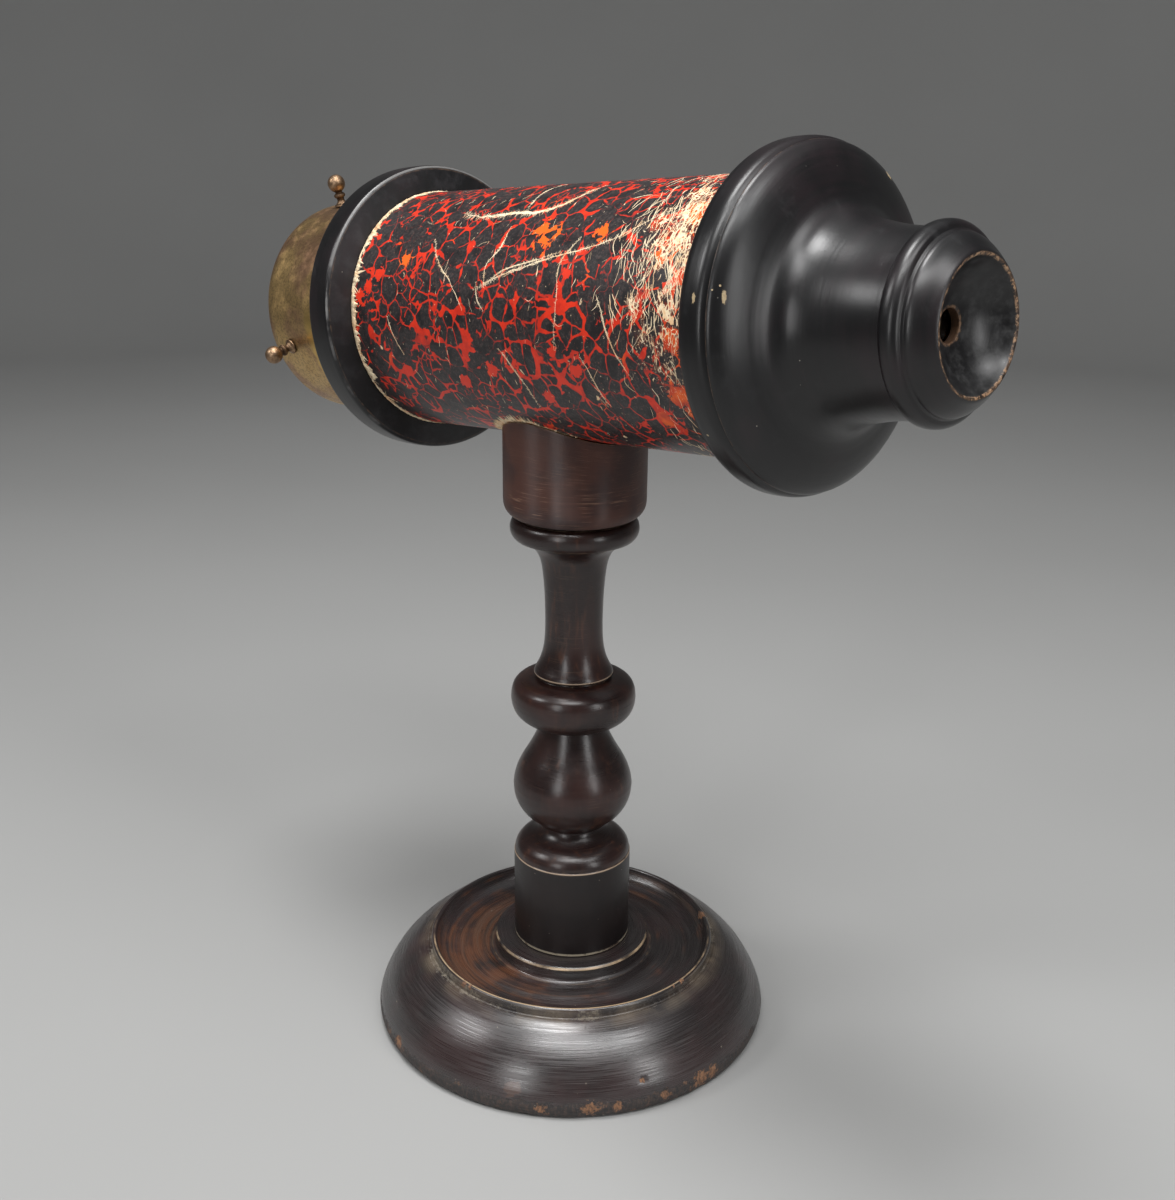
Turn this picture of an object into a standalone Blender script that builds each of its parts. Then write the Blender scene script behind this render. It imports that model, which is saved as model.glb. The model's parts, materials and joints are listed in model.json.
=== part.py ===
"""A parlour kaleidoscope on a turned stand.

The stand is a base and a baluster column. A cup turns on the column's upper tenon and carries the barrel:
a paper-covered pasteboard tube with a turned eyepiece bell at one end and a turned ring at the other.
The ring holds a brass drum, the object cell, which is turned by four knobs. Two mirrors run through the tube.

Metres, +Z up. The origin is the centre of the base's underside, and the barrel points along +X to the eye.
Turned outlines are lists of (radius, height), where a barrel piece's height is its place along the barrel's
axis, counted from the column's axis towards the eye.
"""

import math

import bmesh
import bpy
from mathutils import Vector

MM = 0.001

# Clearances, and what the cutters overrun.
FIT = 0.3 * MM
RUNNING = 0.4 * MM
OVERRUN = 2.0 * MM
MERGE = 0.01 * MM

# Facets of the round pieces.
BARREL_STEPS = 32
POST_STEPS = 24
SMALL_STEPS = 12
ROUND_STEPS = 4
SHARP_ANGLE = math.radians(32)

# Base.
BASE_RADIUS = 69.2 * MM
DOME_HEIGHT = 25.0 * MM
RIM_RADIUS = 50.0 * MM
RIM_WIDTH = 1.7 * MM
RIM_RISE = 3.9 * MM
QUIRK_WIDTH = 2.4 * MM
QUIRK_DEPTH = 0.7 * MM
QUIRK_LOW_SHARE = 0.4
DISH_DEPTH = 5.2 * MM
COLLAR_RADIUS = 27.2 * MM
COLLAR_RISE = 0.6 * MM
COLLAR_EDGE = 0.6 * MM
MORTISE_DEPTH = 21.5 * MM
DOME_SHARES = (
    (0.054, 0.996), (0.232, 0.930), (0.464, 0.802), (0.690, 0.634), (0.845, 0.462),
    (0.946, 0.320), (1.000, 0.168), (0.982, 0.072), (0.911, 0.000),
)
DISH_SHARES = (
    (0.000, 0.42), (0.050, 0.92), (0.140, 0.90), (0.270, 0.76), (0.420, 0.82),
    (0.600, 1.00), (0.780, 0.95), (0.900, 0.72), (0.970, 0.34),
)

# Column, from the foot up.
FOOT_RADIUS = 20.3 * MM
FOOT_HEIGHT = 31.0 * MM
COVE_HEIGHT = 12.7 * MM
VASE_RADIUS = 20.4 * MM
VASE_HEIGHT = 36.3 * MM
RING_RADIUS = 21.0 * MM
RING_HEIGHT = 17.5 * MM
FILLET_RADIUS = 13.3 * MM
FILLET_HEIGHT = 7.6 * MM
NECK_RADIUS = 9.6 * MM
NECK_HEIGHT = 36.4 * MM
CAPITAL_RADIUS = 21.0 * MM
CAPITAL_HEIGHT = 11.2 * MM
TENON_RADIUS = 7.0 * MM
COVE_SHARES = (
    (1.00, 0.00), (0.99, 0.18), (0.95, 0.38), (0.87, 0.56), (0.75, 0.68), (0.62, 0.74),
    (0.55, 0.80), (0.51, 0.90), (0.54, 0.98),
)
VASE_SHARES = (
    (0.63, 0.03), (0.79, 0.10), (0.89, 0.17), (0.955, 0.24), (0.99, 0.31), (1.00, 0.39),
    (0.98, 0.48), (0.925, 0.57), (0.845, 0.66), (0.755, 0.745), (0.665, 0.84), (0.59, 0.93), (0.54, 0.99),
)
RING_SHARES = (
    (0.63, 0.07), (0.82, 0.18), (0.94, 0.31), (0.99, 0.47), (1.00, 0.62), (0.975, 0.78),
    (0.90, 0.89), (0.76, 0.96), (0.60, 0.99),
)
FILLET_SHARES = ((0.92, 0.06), (0.99, 0.20), (1.00, 0.38), (0.97, 0.60), (0.90, 0.80), (0.80, 0.97))
NECK_SHARES = (
    (1.03, 0.08), (1.00, 0.18), (0.995, 0.40), (1.02, 0.60), (1.08, 0.76), (1.16, 0.88), (1.25, 0.95),
)
CAPITAL_SHARES = (
    (0.63, 0.01), (0.80, 0.14), (0.93, 0.32), (0.99, 0.53), (1.00, 0.74), (0.965, 0.92), (0.88, 1.00),
)

# Cup under the barrel. The tenon and the screw's bite are shares of its height.
CUP_RADIUS = 23.1 * MM
CUP_HEIGHT = 25.7 * MM
CUP_ROUND = 5.4 * MM
TENON_SHARE = 0.50
BITE_SHARE = 0.32

# Barrel: it rises a little towards the eye.
BARREL_RISE = math.radians(4.85)
TUBE_RADIUS = 38.0 * MM
PAPER_THICKNESS = 0.35 * MM
TUBE_WALL = 2.3 * MM
SLEEVE_WALL = 1.4 * MM
SLEEVE_OVERLAP = 32.0 * MM
RING_FACE = -65.6 * MM
RING_WALL = 8.85 * MM
RING_LENGTH = 12.5 * MM
SOCKET_DEPTH = 6.3 * MM
REAR_RING_SHARES = ((0.985, 0.864), (0.998, 0.790), (1.000, 0.504), (0.995, 0.134), (0.975, 0.000))

# Eyepiece bell, from its flange to the rim of the eye dish.
FLANGE_BACK = 85.5 * MM
FLANGE_OVERHANG = 8.1 * MM
FLANGE_THICKNESS = 8.6 * MM
SHOULDER_STEP = 0.9 * MM
SWEEP_LENGTH = 31.2 * MM
BELL_NECK_RADIUS = 23.4 * MM
BELL_NECK_LENGTH = 3.6 * MM
BEAD_RADIUS = 25.0 * MM
BEAD_LENGTH = 5.8 * MM
MOUTH_RADIUS = 17.4 * MM
MOUTH_LENGTH = 6.4 * MM
MOUTH_LAND = 0.8 * MM
EYE_DISH_DEPTH = 8.5 * MM
EYE_HOLE_RADIUS = 4.2 * MM
EYE_HOLE_LAND = 2.4 * MM
THROAT_RADIUS = 16.5 * MM
SPIGOT_LENGTH = 12.0 * MM
SPIGOT_WALL = 3.4 * MM
EYE_GLASS_RADIUS = 9.0 * MM
EYE_GLASS_THICKNESS = 2.0 * MM
EYE_RING_LENGTH = 1.5 * MM
EYE_RING_WALL = 1.8 * MM
FLANGE_SHARES = (
    (0.965, 0.985), (0.985, 0.93), (0.998, 0.78), (1.000, 0.50), (0.996, 0.18), (0.980, 0.03), (0.960, 0.00),
)
SWEEP_SHARES = (
    (0.00, 1.000), (0.04, 0.970), (0.09, 0.885), (0.135, 0.765), (0.175, 0.620), (0.21, 0.460),
    (0.25, 0.315), (0.32, 0.200), (0.44, 0.125), (0.61, 0.070), (0.80, 0.022), (1.00, 0.000),
)
BELL_BEAD_SHARES = ((0.955, 0.02), (0.99, 0.16), (1.00, 0.42), (0.99, 0.66), (0.955, 0.84), (0.895, 0.96))
MOUTH_SHARES = ((0.00, 0.985), (0.16, 0.95), (0.36, 0.80), (0.58, 0.57), (0.80, 0.29), (0.95, 0.08), (1.00, 0.00))

# Brass drum and what it holds.
DRUM_DEPTH = 45.9 * MM
DRUM_WALL = 0.8 * MM
DRUM_FLANGE = 1.0 * MM
DRUM_SHOULDER = 6.0 * MM
DRUM_LIP = 2.0 * MM
GLASS_THICKNESS = 2.0 * MM
CELL_DEPTH = 12.0 * MM
SPACER_WALL = 1.3 * MM
CELL_RING_LENGTH = 1.0 * MM
CELL_RING_WALL = 1.8 * MM

# Knobs: set out by eye round the drum, counted from +Y towards the top.
KNOB_ANGLES = tuple(math.radians(angle) for angle in (14.0, 103.0, 197.0, 286.0))
KNOB_RADIUS = 3.0 * MM
KNOB_HEIGHT = 10.5 * MM
KNOB_SHANK_RADIUS = 1.1 * MM
KNOB_SHARES = (
    (0.00, 1.00), (0.42, 0.978), (0.78, 0.90), (0.98, 0.78), (1.00, 0.71), (0.86, 0.575), (0.50, 0.48),
    (0.38, 0.45), (0.62, 0.37), (0.66, 0.31), (0.44, 0.24), (0.42, 0.17), (0.62, 0.08), (0.86, 0.03), (0.86, 0.00),
)

# Mirrors: two plates in a V, open side down, closed by a blackened strip. Their shares are of the spigot's bore.
MIRROR_ANGLE = math.radians(30)
MIRROR_WIDTH_SHARE = 1.786
MIRROR_APEX_SHARE = 0.909
MIRROR_THICKNESS = 2.2 * MM
BACKING_THICKNESS = 1.5 * MM
BACKING_SHARE = 0.96
CRADLE_LENGTH = 6.0 * MM
CRADLE_SETBACK = 3.0 * MM

# Screw from the inside of the tube down into the cup.
SCREW_RADIUS = 1.9 * MM
SCREW_HEAD_RADIUS = 3.6 * MM
SCREW_HEAD_HEIGHT = 1.9 * MM
SCREW_HEAD_SHARES = ((0.6, 1.0), (1.0, 0.4), (1.0, 0.0))
SCREW_TIP = 3.0 * MM
WASHER_RADIUS = 6.0 * MM
WASHER_THICKNESS = 1.0 * MM

# Loose glass in the cell: sides, radius, height and how much the top narrows, with a name and a colour.
CHIP_SPACING = math.radians(11)
CHIP_RADIUS = 2.7 * MM
CHIP_HEIGHT = 3.4 * MM
CHIP_SHARES = (
    (3, 1.00, 0.70, 1.00), (6, 0.92, 1.00, 0.55), (4, 0.95, 0.80, 1.00), (8, 0.88, 0.90, 0.40),
    (5, 0.96, 1.10, 0.70), (6, 0.85, 0.75, 1.00), (3, 0.98, 1.20, 0.60), (12, 0.86, 0.85, 0.50),
)
CHIP_COLOURS = (
    (0.55, 0.02, 0.03), (0.80, 0.42, 0.03), (0.02, 0.35, 0.10), (0.02, 0.08, 0.50),
    (0.75, 0.80, 0.80), (0.28, 0.05, 0.40), (0.70, 0.20, 0.30), (0.03, 0.40, 0.45),
)

# Places worked out from the sizes above, up the stand.
BASE_TOP = DOME_HEIGHT + RIM_RISE + COLLAR_RISE
FOOT_BOTTOM = BASE_TOP + FIT
COLUMN_TOP = (
    FOOT_BOTTOM + FOOT_HEIGHT + COVE_HEIGHT + VASE_HEIGHT + RING_HEIGHT
    + FILLET_HEIGHT + NECK_HEIGHT + CAPITAL_HEIGHT
)
CUP_BOTTOM = COLUMN_TOP + FIT
TENON_TOP = CUP_BOTTOM + CUP_HEIGHT * TENON_SHARE
AXIS_HEIGHT = CUP_BOTTOM + CUP_HEIGHT + TUBE_RADIUS / math.cos(BARREL_RISE)

# Radii from the paper inwards.
PAPER_INNER = TUBE_RADIUS - PAPER_THICKNESS
TUBE_OUTER = PAPER_INNER - FIT
TUBE_INNER = TUBE_OUTER - TUBE_WALL
SLEEVE_OUTER = TUBE_INNER - FIT
SLEEVE_INNER = SLEEVE_OUTER - SLEEVE_WALL
DRUM_INNER = SLEEVE_OUTER + RUNNING
DRUM_OUTER = DRUM_INNER + DRUM_WALL
LIP_BORE = DRUM_OUTER + RUNNING
RING_BORE = TUBE_OUTER + FIT
RING_OUTER_RADIUS = RING_BORE + RING_WALL
FLANGE_RADIUS = TUBE_RADIUS + FLANGE_OVERHANG
SHOULDER_RADIUS = FLANGE_RADIUS - SHOULDER_STEP
DRUM_FLANGE_RADIUS = RING_BORE - RUNNING
CELL_RADIUS = DRUM_INNER - FIT
SPACER_INNER = CELL_RADIUS - SPACER_WALL

# Places along the barrel, from the ring back to the drum's end and forward to the mirrors.
TUBE_REAR = RING_FACE - SOCKET_DEPTH
TUBE_FRONT = FLANGE_BACK - FIT
DRUM_FRONT = TUBE_REAR - RUNNING
LIP_FRONT = DRUM_FRONT - DRUM_FLANGE - RUNNING
RING_BACK = RING_FACE - RING_LENGTH
DRUM_END = RING_BACK - DRUM_DEPTH
GROUND_REAR = DRUM_END + DRUM_SHOULDER + FIT
GROUND_FRONT = GROUND_REAR + GLASS_THICKNESS
SPACER_REAR = GROUND_FRONT + FIT
SPACER_FRONT = SPACER_REAR + CELL_DEPTH
KNOB_PLACE = (SPACER_REAR + SPACER_FRONT) / 2
CELL_GLASS_REAR = SPACER_FRONT + FIT
CELL_GLASS_FRONT = CELL_GLASS_REAR + GLASS_THICKNESS
CELL_RING_REAR = CELL_GLASS_FRONT + FIT
CELL_RING_FRONT = CELL_RING_REAR + CELL_RING_LENGTH
SLEEVE_REAR = CELL_RING_FRONT + RUNNING
SLEEVE_FRONT = TUBE_REAR + SLEEVE_OVERLAP
END_RING_FRONT = SLEEVE_REAR + CELL_RING_LENGTH
END_GLASS_REAR = END_RING_FRONT + FIT
END_GLASS_FRONT = END_GLASS_REAR + GLASS_THICKNESS
MIRROR_REAR = END_GLASS_FRONT + FIT

# Places along the bell.
SHOULDER_START = FLANGE_BACK + FLANGE_THICKNESS
NECK_START = SHOULDER_START + SWEEP_LENGTH
BEAD_START = NECK_START + BELL_NECK_LENGTH
MOUTH_START = BEAD_START + BEAD_LENGTH
MOUTH_END = MOUTH_START + MOUTH_LENGTH
EYE_DISH_BOTTOM = MOUTH_END - EYE_DISH_DEPTH
EYE_SEAT = EYE_DISH_BOTTOM - EYE_HOLE_LAND
EYE_GLASS_FRONT = EYE_SEAT - FIT
EYE_GLASS_REAR = EYE_GLASS_FRONT - EYE_GLASS_THICKNESS
EYE_RING_FRONT = EYE_GLASS_REAR - FIT
EYE_RING_REAR = EYE_RING_FRONT - EYE_RING_LENGTH
SPIGOT_END = FLANGE_BACK - SPIGOT_LENGTH
SPIGOT_BORE = SLEEVE_OUTER - SPIGOT_WALL
CRADLE_FRONT_END = SPIGOT_END - FIT
MIRROR_FRONT = SHOULDER_START - FIT
MIRROR_WIDTH = SPIGOT_BORE * MIRROR_WIDTH_SHARE
MIRROR_APEX = SPIGOT_BORE * MIRROR_APEX_SHARE


def clear_scene():
    """Remove the objects that a new file starts with."""
    for item in list(bpy.data.objects):
        bpy.data.objects.remove(item, do_unlink=True)


def new_collection(name):
    """Make a collection in the scene."""
    group = bpy.data.collections.new(name)
    bpy.context.scene.collection.children.link(group)
    return group


def material(name, colour, roughness, metallic=0.0):
    """Make a Principled material."""
    finish = bpy.data.materials.new(name)
    finish.use_nodes = True
    shader = finish.node_tree.nodes["Principled BSDF"]
    shader.inputs["Base Color"].default_value = (*colour, 1.0)
    shader.inputs["Roughness"].default_value = roughness
    shader.inputs["Metallic"].default_value = metallic
    return finish


def place(item, group, parent=None, finish=None):
    """Link an object to its collection, under its parent, with its material."""
    for old in list(item.users_collection):
        old.objects.unlink(item)
    group.objects.link(item)
    item.parent = parent
    if finish:
        item.data.materials.append(finish)
    return item


def axis_empty(name, group, parent=None, location=(0, 0, 0), rotation=(0, 0, 0)):
    """Make an empty that marks a joint's axis and carries the pieces on it."""
    empty = bpy.data.objects.new(name, None)
    empty.location = location
    empty.rotation_euler = rotation
    return place(empty, group, parent)


def signed_area(outline):
    """Area of an outline of (radius, height), positive when it runs anticlockwise."""
    pairs = zip(outline, outline[1:] + outline[:1])
    return sum(a[0] * b[1] - b[0] * a[1] for a, b in pairs) / 2


def turned(name, outline, steps, group, parent=None, finish=None):
    """Turn an outline of (radius, height) round Z. An outline that leaves the axis open is a bored piece."""
    if signed_area(outline) > 0:
        outline = outline[::-1]
    bored = min(radius for radius, _ in outline) > 0
    while not bored and not (outline[0][0] == 0 and outline[-1][0] == 0):
        outline = outline[1:] + outline[:1]
    count = len(outline)
    edges = [(i, (i + 1) % count) for i in range(count if bored else count - 1)]
    mesh = bpy.data.meshes.new(name)
    mesh.from_pydata([(radius, 0, height) for radius, height in outline], edges, [])
    item = bpy.data.objects.new(name, mesh)
    screw = item.modifiers.new("turning", "SCREW")
    screw.axis = "Z"
    screw.angle = 2 * math.pi
    screw.steps = steps
    screw.render_steps = steps
    screw.use_merge_vertices = True
    screw.merge_threshold = MERGE
    screw.use_smooth_shade = True
    return place(item, group, parent, finish)


def sleeve(outer, inner, low, high):
    """Outline of a plain ring or tube."""
    return [(outer, high), (outer, low), (inner, low), (inner, high)]


def disc(radius, low, high):
    """Outline of a plain disc."""
    return [(0, high), (radius, high), (radius, low), (0, low)]


def arc(centre_radius, centre_height, radius, start, end, steps):
    """Points of an arc in an outline, at angles from the outward direction towards the top."""
    angles = [start + (end - start) * i / steps for i in range(steps + 1)]
    return [
        (centre_radius + radius * math.cos(angle), centre_height + radius * math.sin(angle)) for angle in angles
    ]


def stack(shares, radius, bottom, height):
    """A stretch of a turned outline, as shares of its radius and height."""
    return [(radius * wide, bottom + height * high) for wide, high in shares]


def cut(item, cutter):
    """Take a cutter's shape out of an object."""
    boolean = item.modifiers.new(cutter.name, "BOOLEAN")
    boolean.operation = "DIFFERENCE"
    boolean.solver = "EXACT"
    boolean.object = cutter


def as_cutter(item):
    """Mark an object as a cutter."""
    item.hide_render = True
    item.display_type = "WIRE"
    return item


def prism(name, outline, low, high, group, parent):
    """Extrude a flat outline of (sideways, up) points along the barrel's axis."""
    work = bmesh.new()
    ring = [work.verts.new((-up, side, low)) for side, up in outline]
    face = work.faces.new(ring)
    moved = bmesh.ops.extrude_face_region(work, geom=[face])["geom"]
    top = [part for part in moved if isinstance(part, bmesh.types.BMVert)]
    bmesh.ops.translate(work, verts=top, vec=(0, 0, high - low))
    bmesh.ops.recalc_face_normals(work, faces=work.faces)
    mesh = bpy.data.meshes.new(name)
    work.to_mesh(mesh)
    work.free()
    return place(bpy.data.objects.new(name, mesh), group, parent)


def round_direction(angle):
    """Direction square to the barrel's axis, at an angle from +Y towards the top, in the barrel's frame."""
    return Vector((-math.sin(angle), math.cos(angle), 0))


def point_outwards(item, angle, along):
    """Put an object on the barrel's axis with its own Z pointing out at an angle."""
    item.location = (0, 0, along)
    item.rotation_mode = "QUATERNION"
    item.rotation_quaternion = round_direction(angle).to_track_quat("Z", "Y")


def make_base(group):
    """Turned base: dome, quirk, raised rim, dish, collar and a blind mortise."""
    rim_top = DOME_HEIGHT + RIM_RISE
    rim_inner = RIM_RADIUS - RIM_WIDTH
    dome_start = RIM_RADIUS + QUIRK_WIDTH
    mortise = TENON_RADIUS + FIT
    outline = [(0, BASE_TOP - MORTISE_DEPTH), (mortise, BASE_TOP - MORTISE_DEPTH), (mortise, BASE_TOP)]
    outline += [(COLLAR_RADIUS - COLLAR_EDGE, BASE_TOP), (COLLAR_RADIUS, BASE_TOP - COLLAR_EDGE)]
    for across, deep in DISH_SHARES:
        outline.append((COLLAR_RADIUS + (rim_inner - COLLAR_RADIUS) * across, rim_top - DISH_DEPTH * deep))
    half_rim = RIM_WIDTH / 2
    outline += arc(rim_inner + half_rim, rim_top - half_rim, half_rim, math.pi, 0, ROUND_STEPS)
    outline += [(RIM_RADIUS, DOME_HEIGHT), (RIM_RADIUS + QUIRK_WIDTH * QUIRK_LOW_SHARE, DOME_HEIGHT - QUIRK_DEPTH)]
    for across, high in DOME_SHARES:
        outline.append((dome_start + (BASE_RADIUS - dome_start) * across, DOME_HEIGHT * high))
    outline.append((0, 0))
    wood = material("base_wood", (0.035, 0.026, 0.025), 0.38)
    turned("base", outline, BARREL_STEPS, group, None, wood)


def make_column(group):
    """Turned column, with a tenon into the base and one that the cup turns on."""
    lower_end = BASE_TOP - MORTISE_DEPTH + FIT
    outline = [(0, lower_end), (TENON_RADIUS, lower_end), (TENON_RADIUS, FOOT_BOTTOM), (FOOT_RADIUS, FOOT_BOTTOM)]
    level = FOOT_BOTTOM + FOOT_HEIGHT
    sections = (
        (COVE_SHARES, FOOT_RADIUS, COVE_HEIGHT),
        (VASE_SHARES, VASE_RADIUS, VASE_HEIGHT),
        (RING_SHARES, RING_RADIUS, RING_HEIGHT),
        (FILLET_SHARES, FILLET_RADIUS, FILLET_HEIGHT),
        (NECK_SHARES, NECK_RADIUS, NECK_HEIGHT),
        (CAPITAL_SHARES, CAPITAL_RADIUS, CAPITAL_HEIGHT),
    )
    for shares, radius, height in sections:
        outline += stack(shares, radius, level, height)
        level += height
    outline += [(TENON_RADIUS, COLUMN_TOP), (TENON_RADIUS, TENON_TOP), (0, TENON_TOP)]
    wood = material("column_wood", (0.030, 0.014, 0.012), 0.30)
    turned("column", outline, POST_STEPS, group, None, wood)


def make_cup(group, cutters, barrel, screw_hole):
    """Cup that turns on the column and is cut to the barrel's curve."""
    bore = TENON_RADIUS + RUNNING
    top = AXIS_HEIGHT
    outline = [(0, top), (CUP_RADIUS, top)]
    centre = CUP_RADIUS - CUP_ROUND
    outline += arc(centre, CUP_BOTTOM + CUP_ROUND, CUP_ROUND, 0, -math.pi / 2, ROUND_STEPS)
    outline += [(bore, CUP_BOTTOM), (bore, TENON_TOP + RUNNING), (0, TENON_TOP + RUNNING)]
    wood = material("cup_wood", (0.080, 0.028, 0.020), 0.42)
    item = turned("saddle_cup", outline, POST_STEPS, group, None, wood)
    reach = CUP_RADIUS + TUBE_RADIUS * math.sin(BARREL_RISE) + OVERRUN
    seat = disc(TUBE_RADIUS + FIT, -reach, reach)
    cut(item, as_cutter(turned("barrel_seat", seat, BARREL_STEPS, cutters, barrel)))
    cut(item, screw_hole)


def screw_seat():
    """Distance from the barrel's axis to the washer's underside, on the tube's curved inner wall."""
    flat = TUBE_INNER * math.cos(math.pi / BARREL_STEPS)
    return math.sqrt(flat ** 2 - WASHER_RADIUS ** 2) - FIT


def make_screw(group, cutters, barrel):
    """Screw and washer inside the tube, and the hole that they need."""
    seat = screw_seat()
    head_seat = seat - WASHER_THICKNESS - FIT
    tip = TUBE_RADIUS + CUP_HEIGHT * BITE_SHARE
    steel = material("screw_steel", (0.30, 0.29, 0.28), 0.35, 1.0)
    outline = [(0, SCREW_HEAD_HEIGHT - head_seat)]
    outline += stack(SCREW_HEAD_SHARES, SCREW_HEAD_RADIUS, -head_seat, SCREW_HEAD_HEIGHT)
    outline += [(SCREW_RADIUS, -head_seat), (SCREW_RADIUS, SCREW_TIP - tip), (0, -tip)]
    screw = turned("saddle_screw", outline, SMALL_STEPS, group, barrel, steel)
    washer_outline = sleeve(WASHER_RADIUS, SCREW_RADIUS + FIT, -seat, WASHER_THICKNESS - seat)
    brass = material("washer_brass", (0.55, 0.42, 0.20), 0.35, 1.0)
    washer = turned("saddle_washer", washer_outline, SMALL_STEPS, group, barrel, brass)
    hole_outline = disc(SCREW_RADIUS + FIT, -tip - FIT, -head_seat)
    hole = as_cutter(turned("screw_hole", hole_outline, SMALL_STEPS, cutters, barrel))
    for item in (screw, washer, hole):
        item.rotation_euler = (0, -math.pi / 2, 0)
    return hole


def make_tube(group, barrel, screw_hole):
    """Pasteboard tube, the marbled paper round it and the sleeve that the drum turns on."""
    board = material("tube_board", (0.42, 0.34, 0.24), 0.85)
    tube = turned("tube", sleeve(TUBE_OUTER, TUBE_INNER, TUBE_REAR, TUBE_FRONT), BARREL_STEPS, group, barrel, board)
    cut(tube, screw_hole)
    paper = material("marbled_paper", (0.30, 0.035, 0.015), 0.45)
    cover_outline = sleeve(TUBE_RADIUS, PAPER_INNER, RING_FACE + FIT, TUBE_FRONT)
    cover = turned("paper_cover", cover_outline, BARREL_STEPS, group, barrel, paper)
    cut(cover, screw_hole)
    bearing = material("sleeve_board", (0.50, 0.42, 0.30), 0.85)
    sleeve_outline = sleeve(SLEEVE_OUTER, SLEEVE_INNER, SLEEVE_REAR, SLEEVE_FRONT)
    turned("bearing_sleeve", sleeve_outline, BARREL_STEPS, group, barrel, bearing)


def make_bell(group, barrel):
    """Eyepiece bell: spigot in the tube, flange, shoulder, neck, bead, mouth, eye dish and eye hole."""
    mouth_inner = MOUTH_RADIUS - MOUTH_LAND
    seat_radius = EYE_GLASS_RADIUS + FIT
    throat_start = SHOULDER_START + SPIGOT_WALL
    mouth_wide = BEAD_RADIUS * BELL_BEAD_SHARES[-1][0]
    outline = []
    for forward, wide in reversed(MOUTH_SHARES):
        radius = MOUTH_RADIUS + (mouth_wide - MOUTH_RADIUS) * wide
        outline.append((radius, MOUTH_START + MOUTH_LENGTH * forward))
    outline += stack(reversed(BELL_BEAD_SHARES), BEAD_RADIUS, BEAD_START, BEAD_LENGTH)
    for forward, wide in reversed(SWEEP_SHARES):
        radius = BELL_NECK_RADIUS + (SHOULDER_RADIUS - BELL_NECK_RADIUS) * wide
        outline.append((radius, SHOULDER_START + SWEEP_LENGTH * forward))
    outline += stack(FLANGE_SHARES, FLANGE_RADIUS, FLANGE_BACK, FLANGE_THICKNESS)
    outline += [(SLEEVE_OUTER, FLANGE_BACK), (SLEEVE_OUTER, SPIGOT_END), (SPIGOT_BORE, SPIGOT_END)]
    outline += [(SPIGOT_BORE, SHOULDER_START), (THROAT_RADIUS, throat_start), (THROAT_RADIUS, EYE_RING_REAR)]
    outline += [(seat_radius, EYE_RING_REAR), (seat_radius, EYE_SEAT), (EYE_HOLE_RADIUS, EYE_SEAT), (EYE_HOLE_RADIUS, EYE_DISH_BOTTOM)]
    for i in range(1, ROUND_STEPS + 1):
        turn = math.pi / 2 * i / ROUND_STEPS
        radius = EYE_HOLE_RADIUS + (mouth_inner - EYE_HOLE_RADIUS) * math.sin(turn)
        outline.append((radius, MOUTH_END - EYE_DISH_DEPTH * math.cos(turn)))
    ebony = material("bell_wood", (0.012, 0.011, 0.012), 0.24)
    turned("eyepiece_bell", outline, BARREL_STEPS, group, barrel, ebony)
    glass = material("eye_glass", (0.80, 0.85, 0.84), 0.03)
    turned("eye_glass", disc(EYE_GLASS_RADIUS, EYE_GLASS_REAR, EYE_GLASS_FRONT), BARREL_STEPS, group, barrel, glass)
    brass = material("eye_ring_brass", (0.60, 0.45, 0.20), 0.35, 1.0)
    ring_outline = sleeve(EYE_GLASS_RADIUS, EYE_GLASS_RADIUS - EYE_RING_WALL, EYE_RING_REAR, EYE_RING_FRONT)
    turned("eye_glass_ring", ring_outline, BARREL_STEPS, group, barrel, brass)


def make_rear_ring(group, barrel):
    """Turned ring glued on the tube's far end, whose inner lip keeps the drum's flange."""
    outline = [(RING_BORE, RING_FACE)]
    outline += stack(REAR_RING_SHARES, RING_OUTER_RADIUS, RING_BACK, RING_LENGTH)
    outline += [(LIP_BORE, RING_BACK), (LIP_BORE, LIP_FRONT), (RING_BORE, LIP_FRONT)]
    ebony = material("ring_wood", (0.012, 0.011, 0.012), 0.26)
    turned("rear_ring", outline, BARREL_STEPS, group, barrel, ebony)


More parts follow.
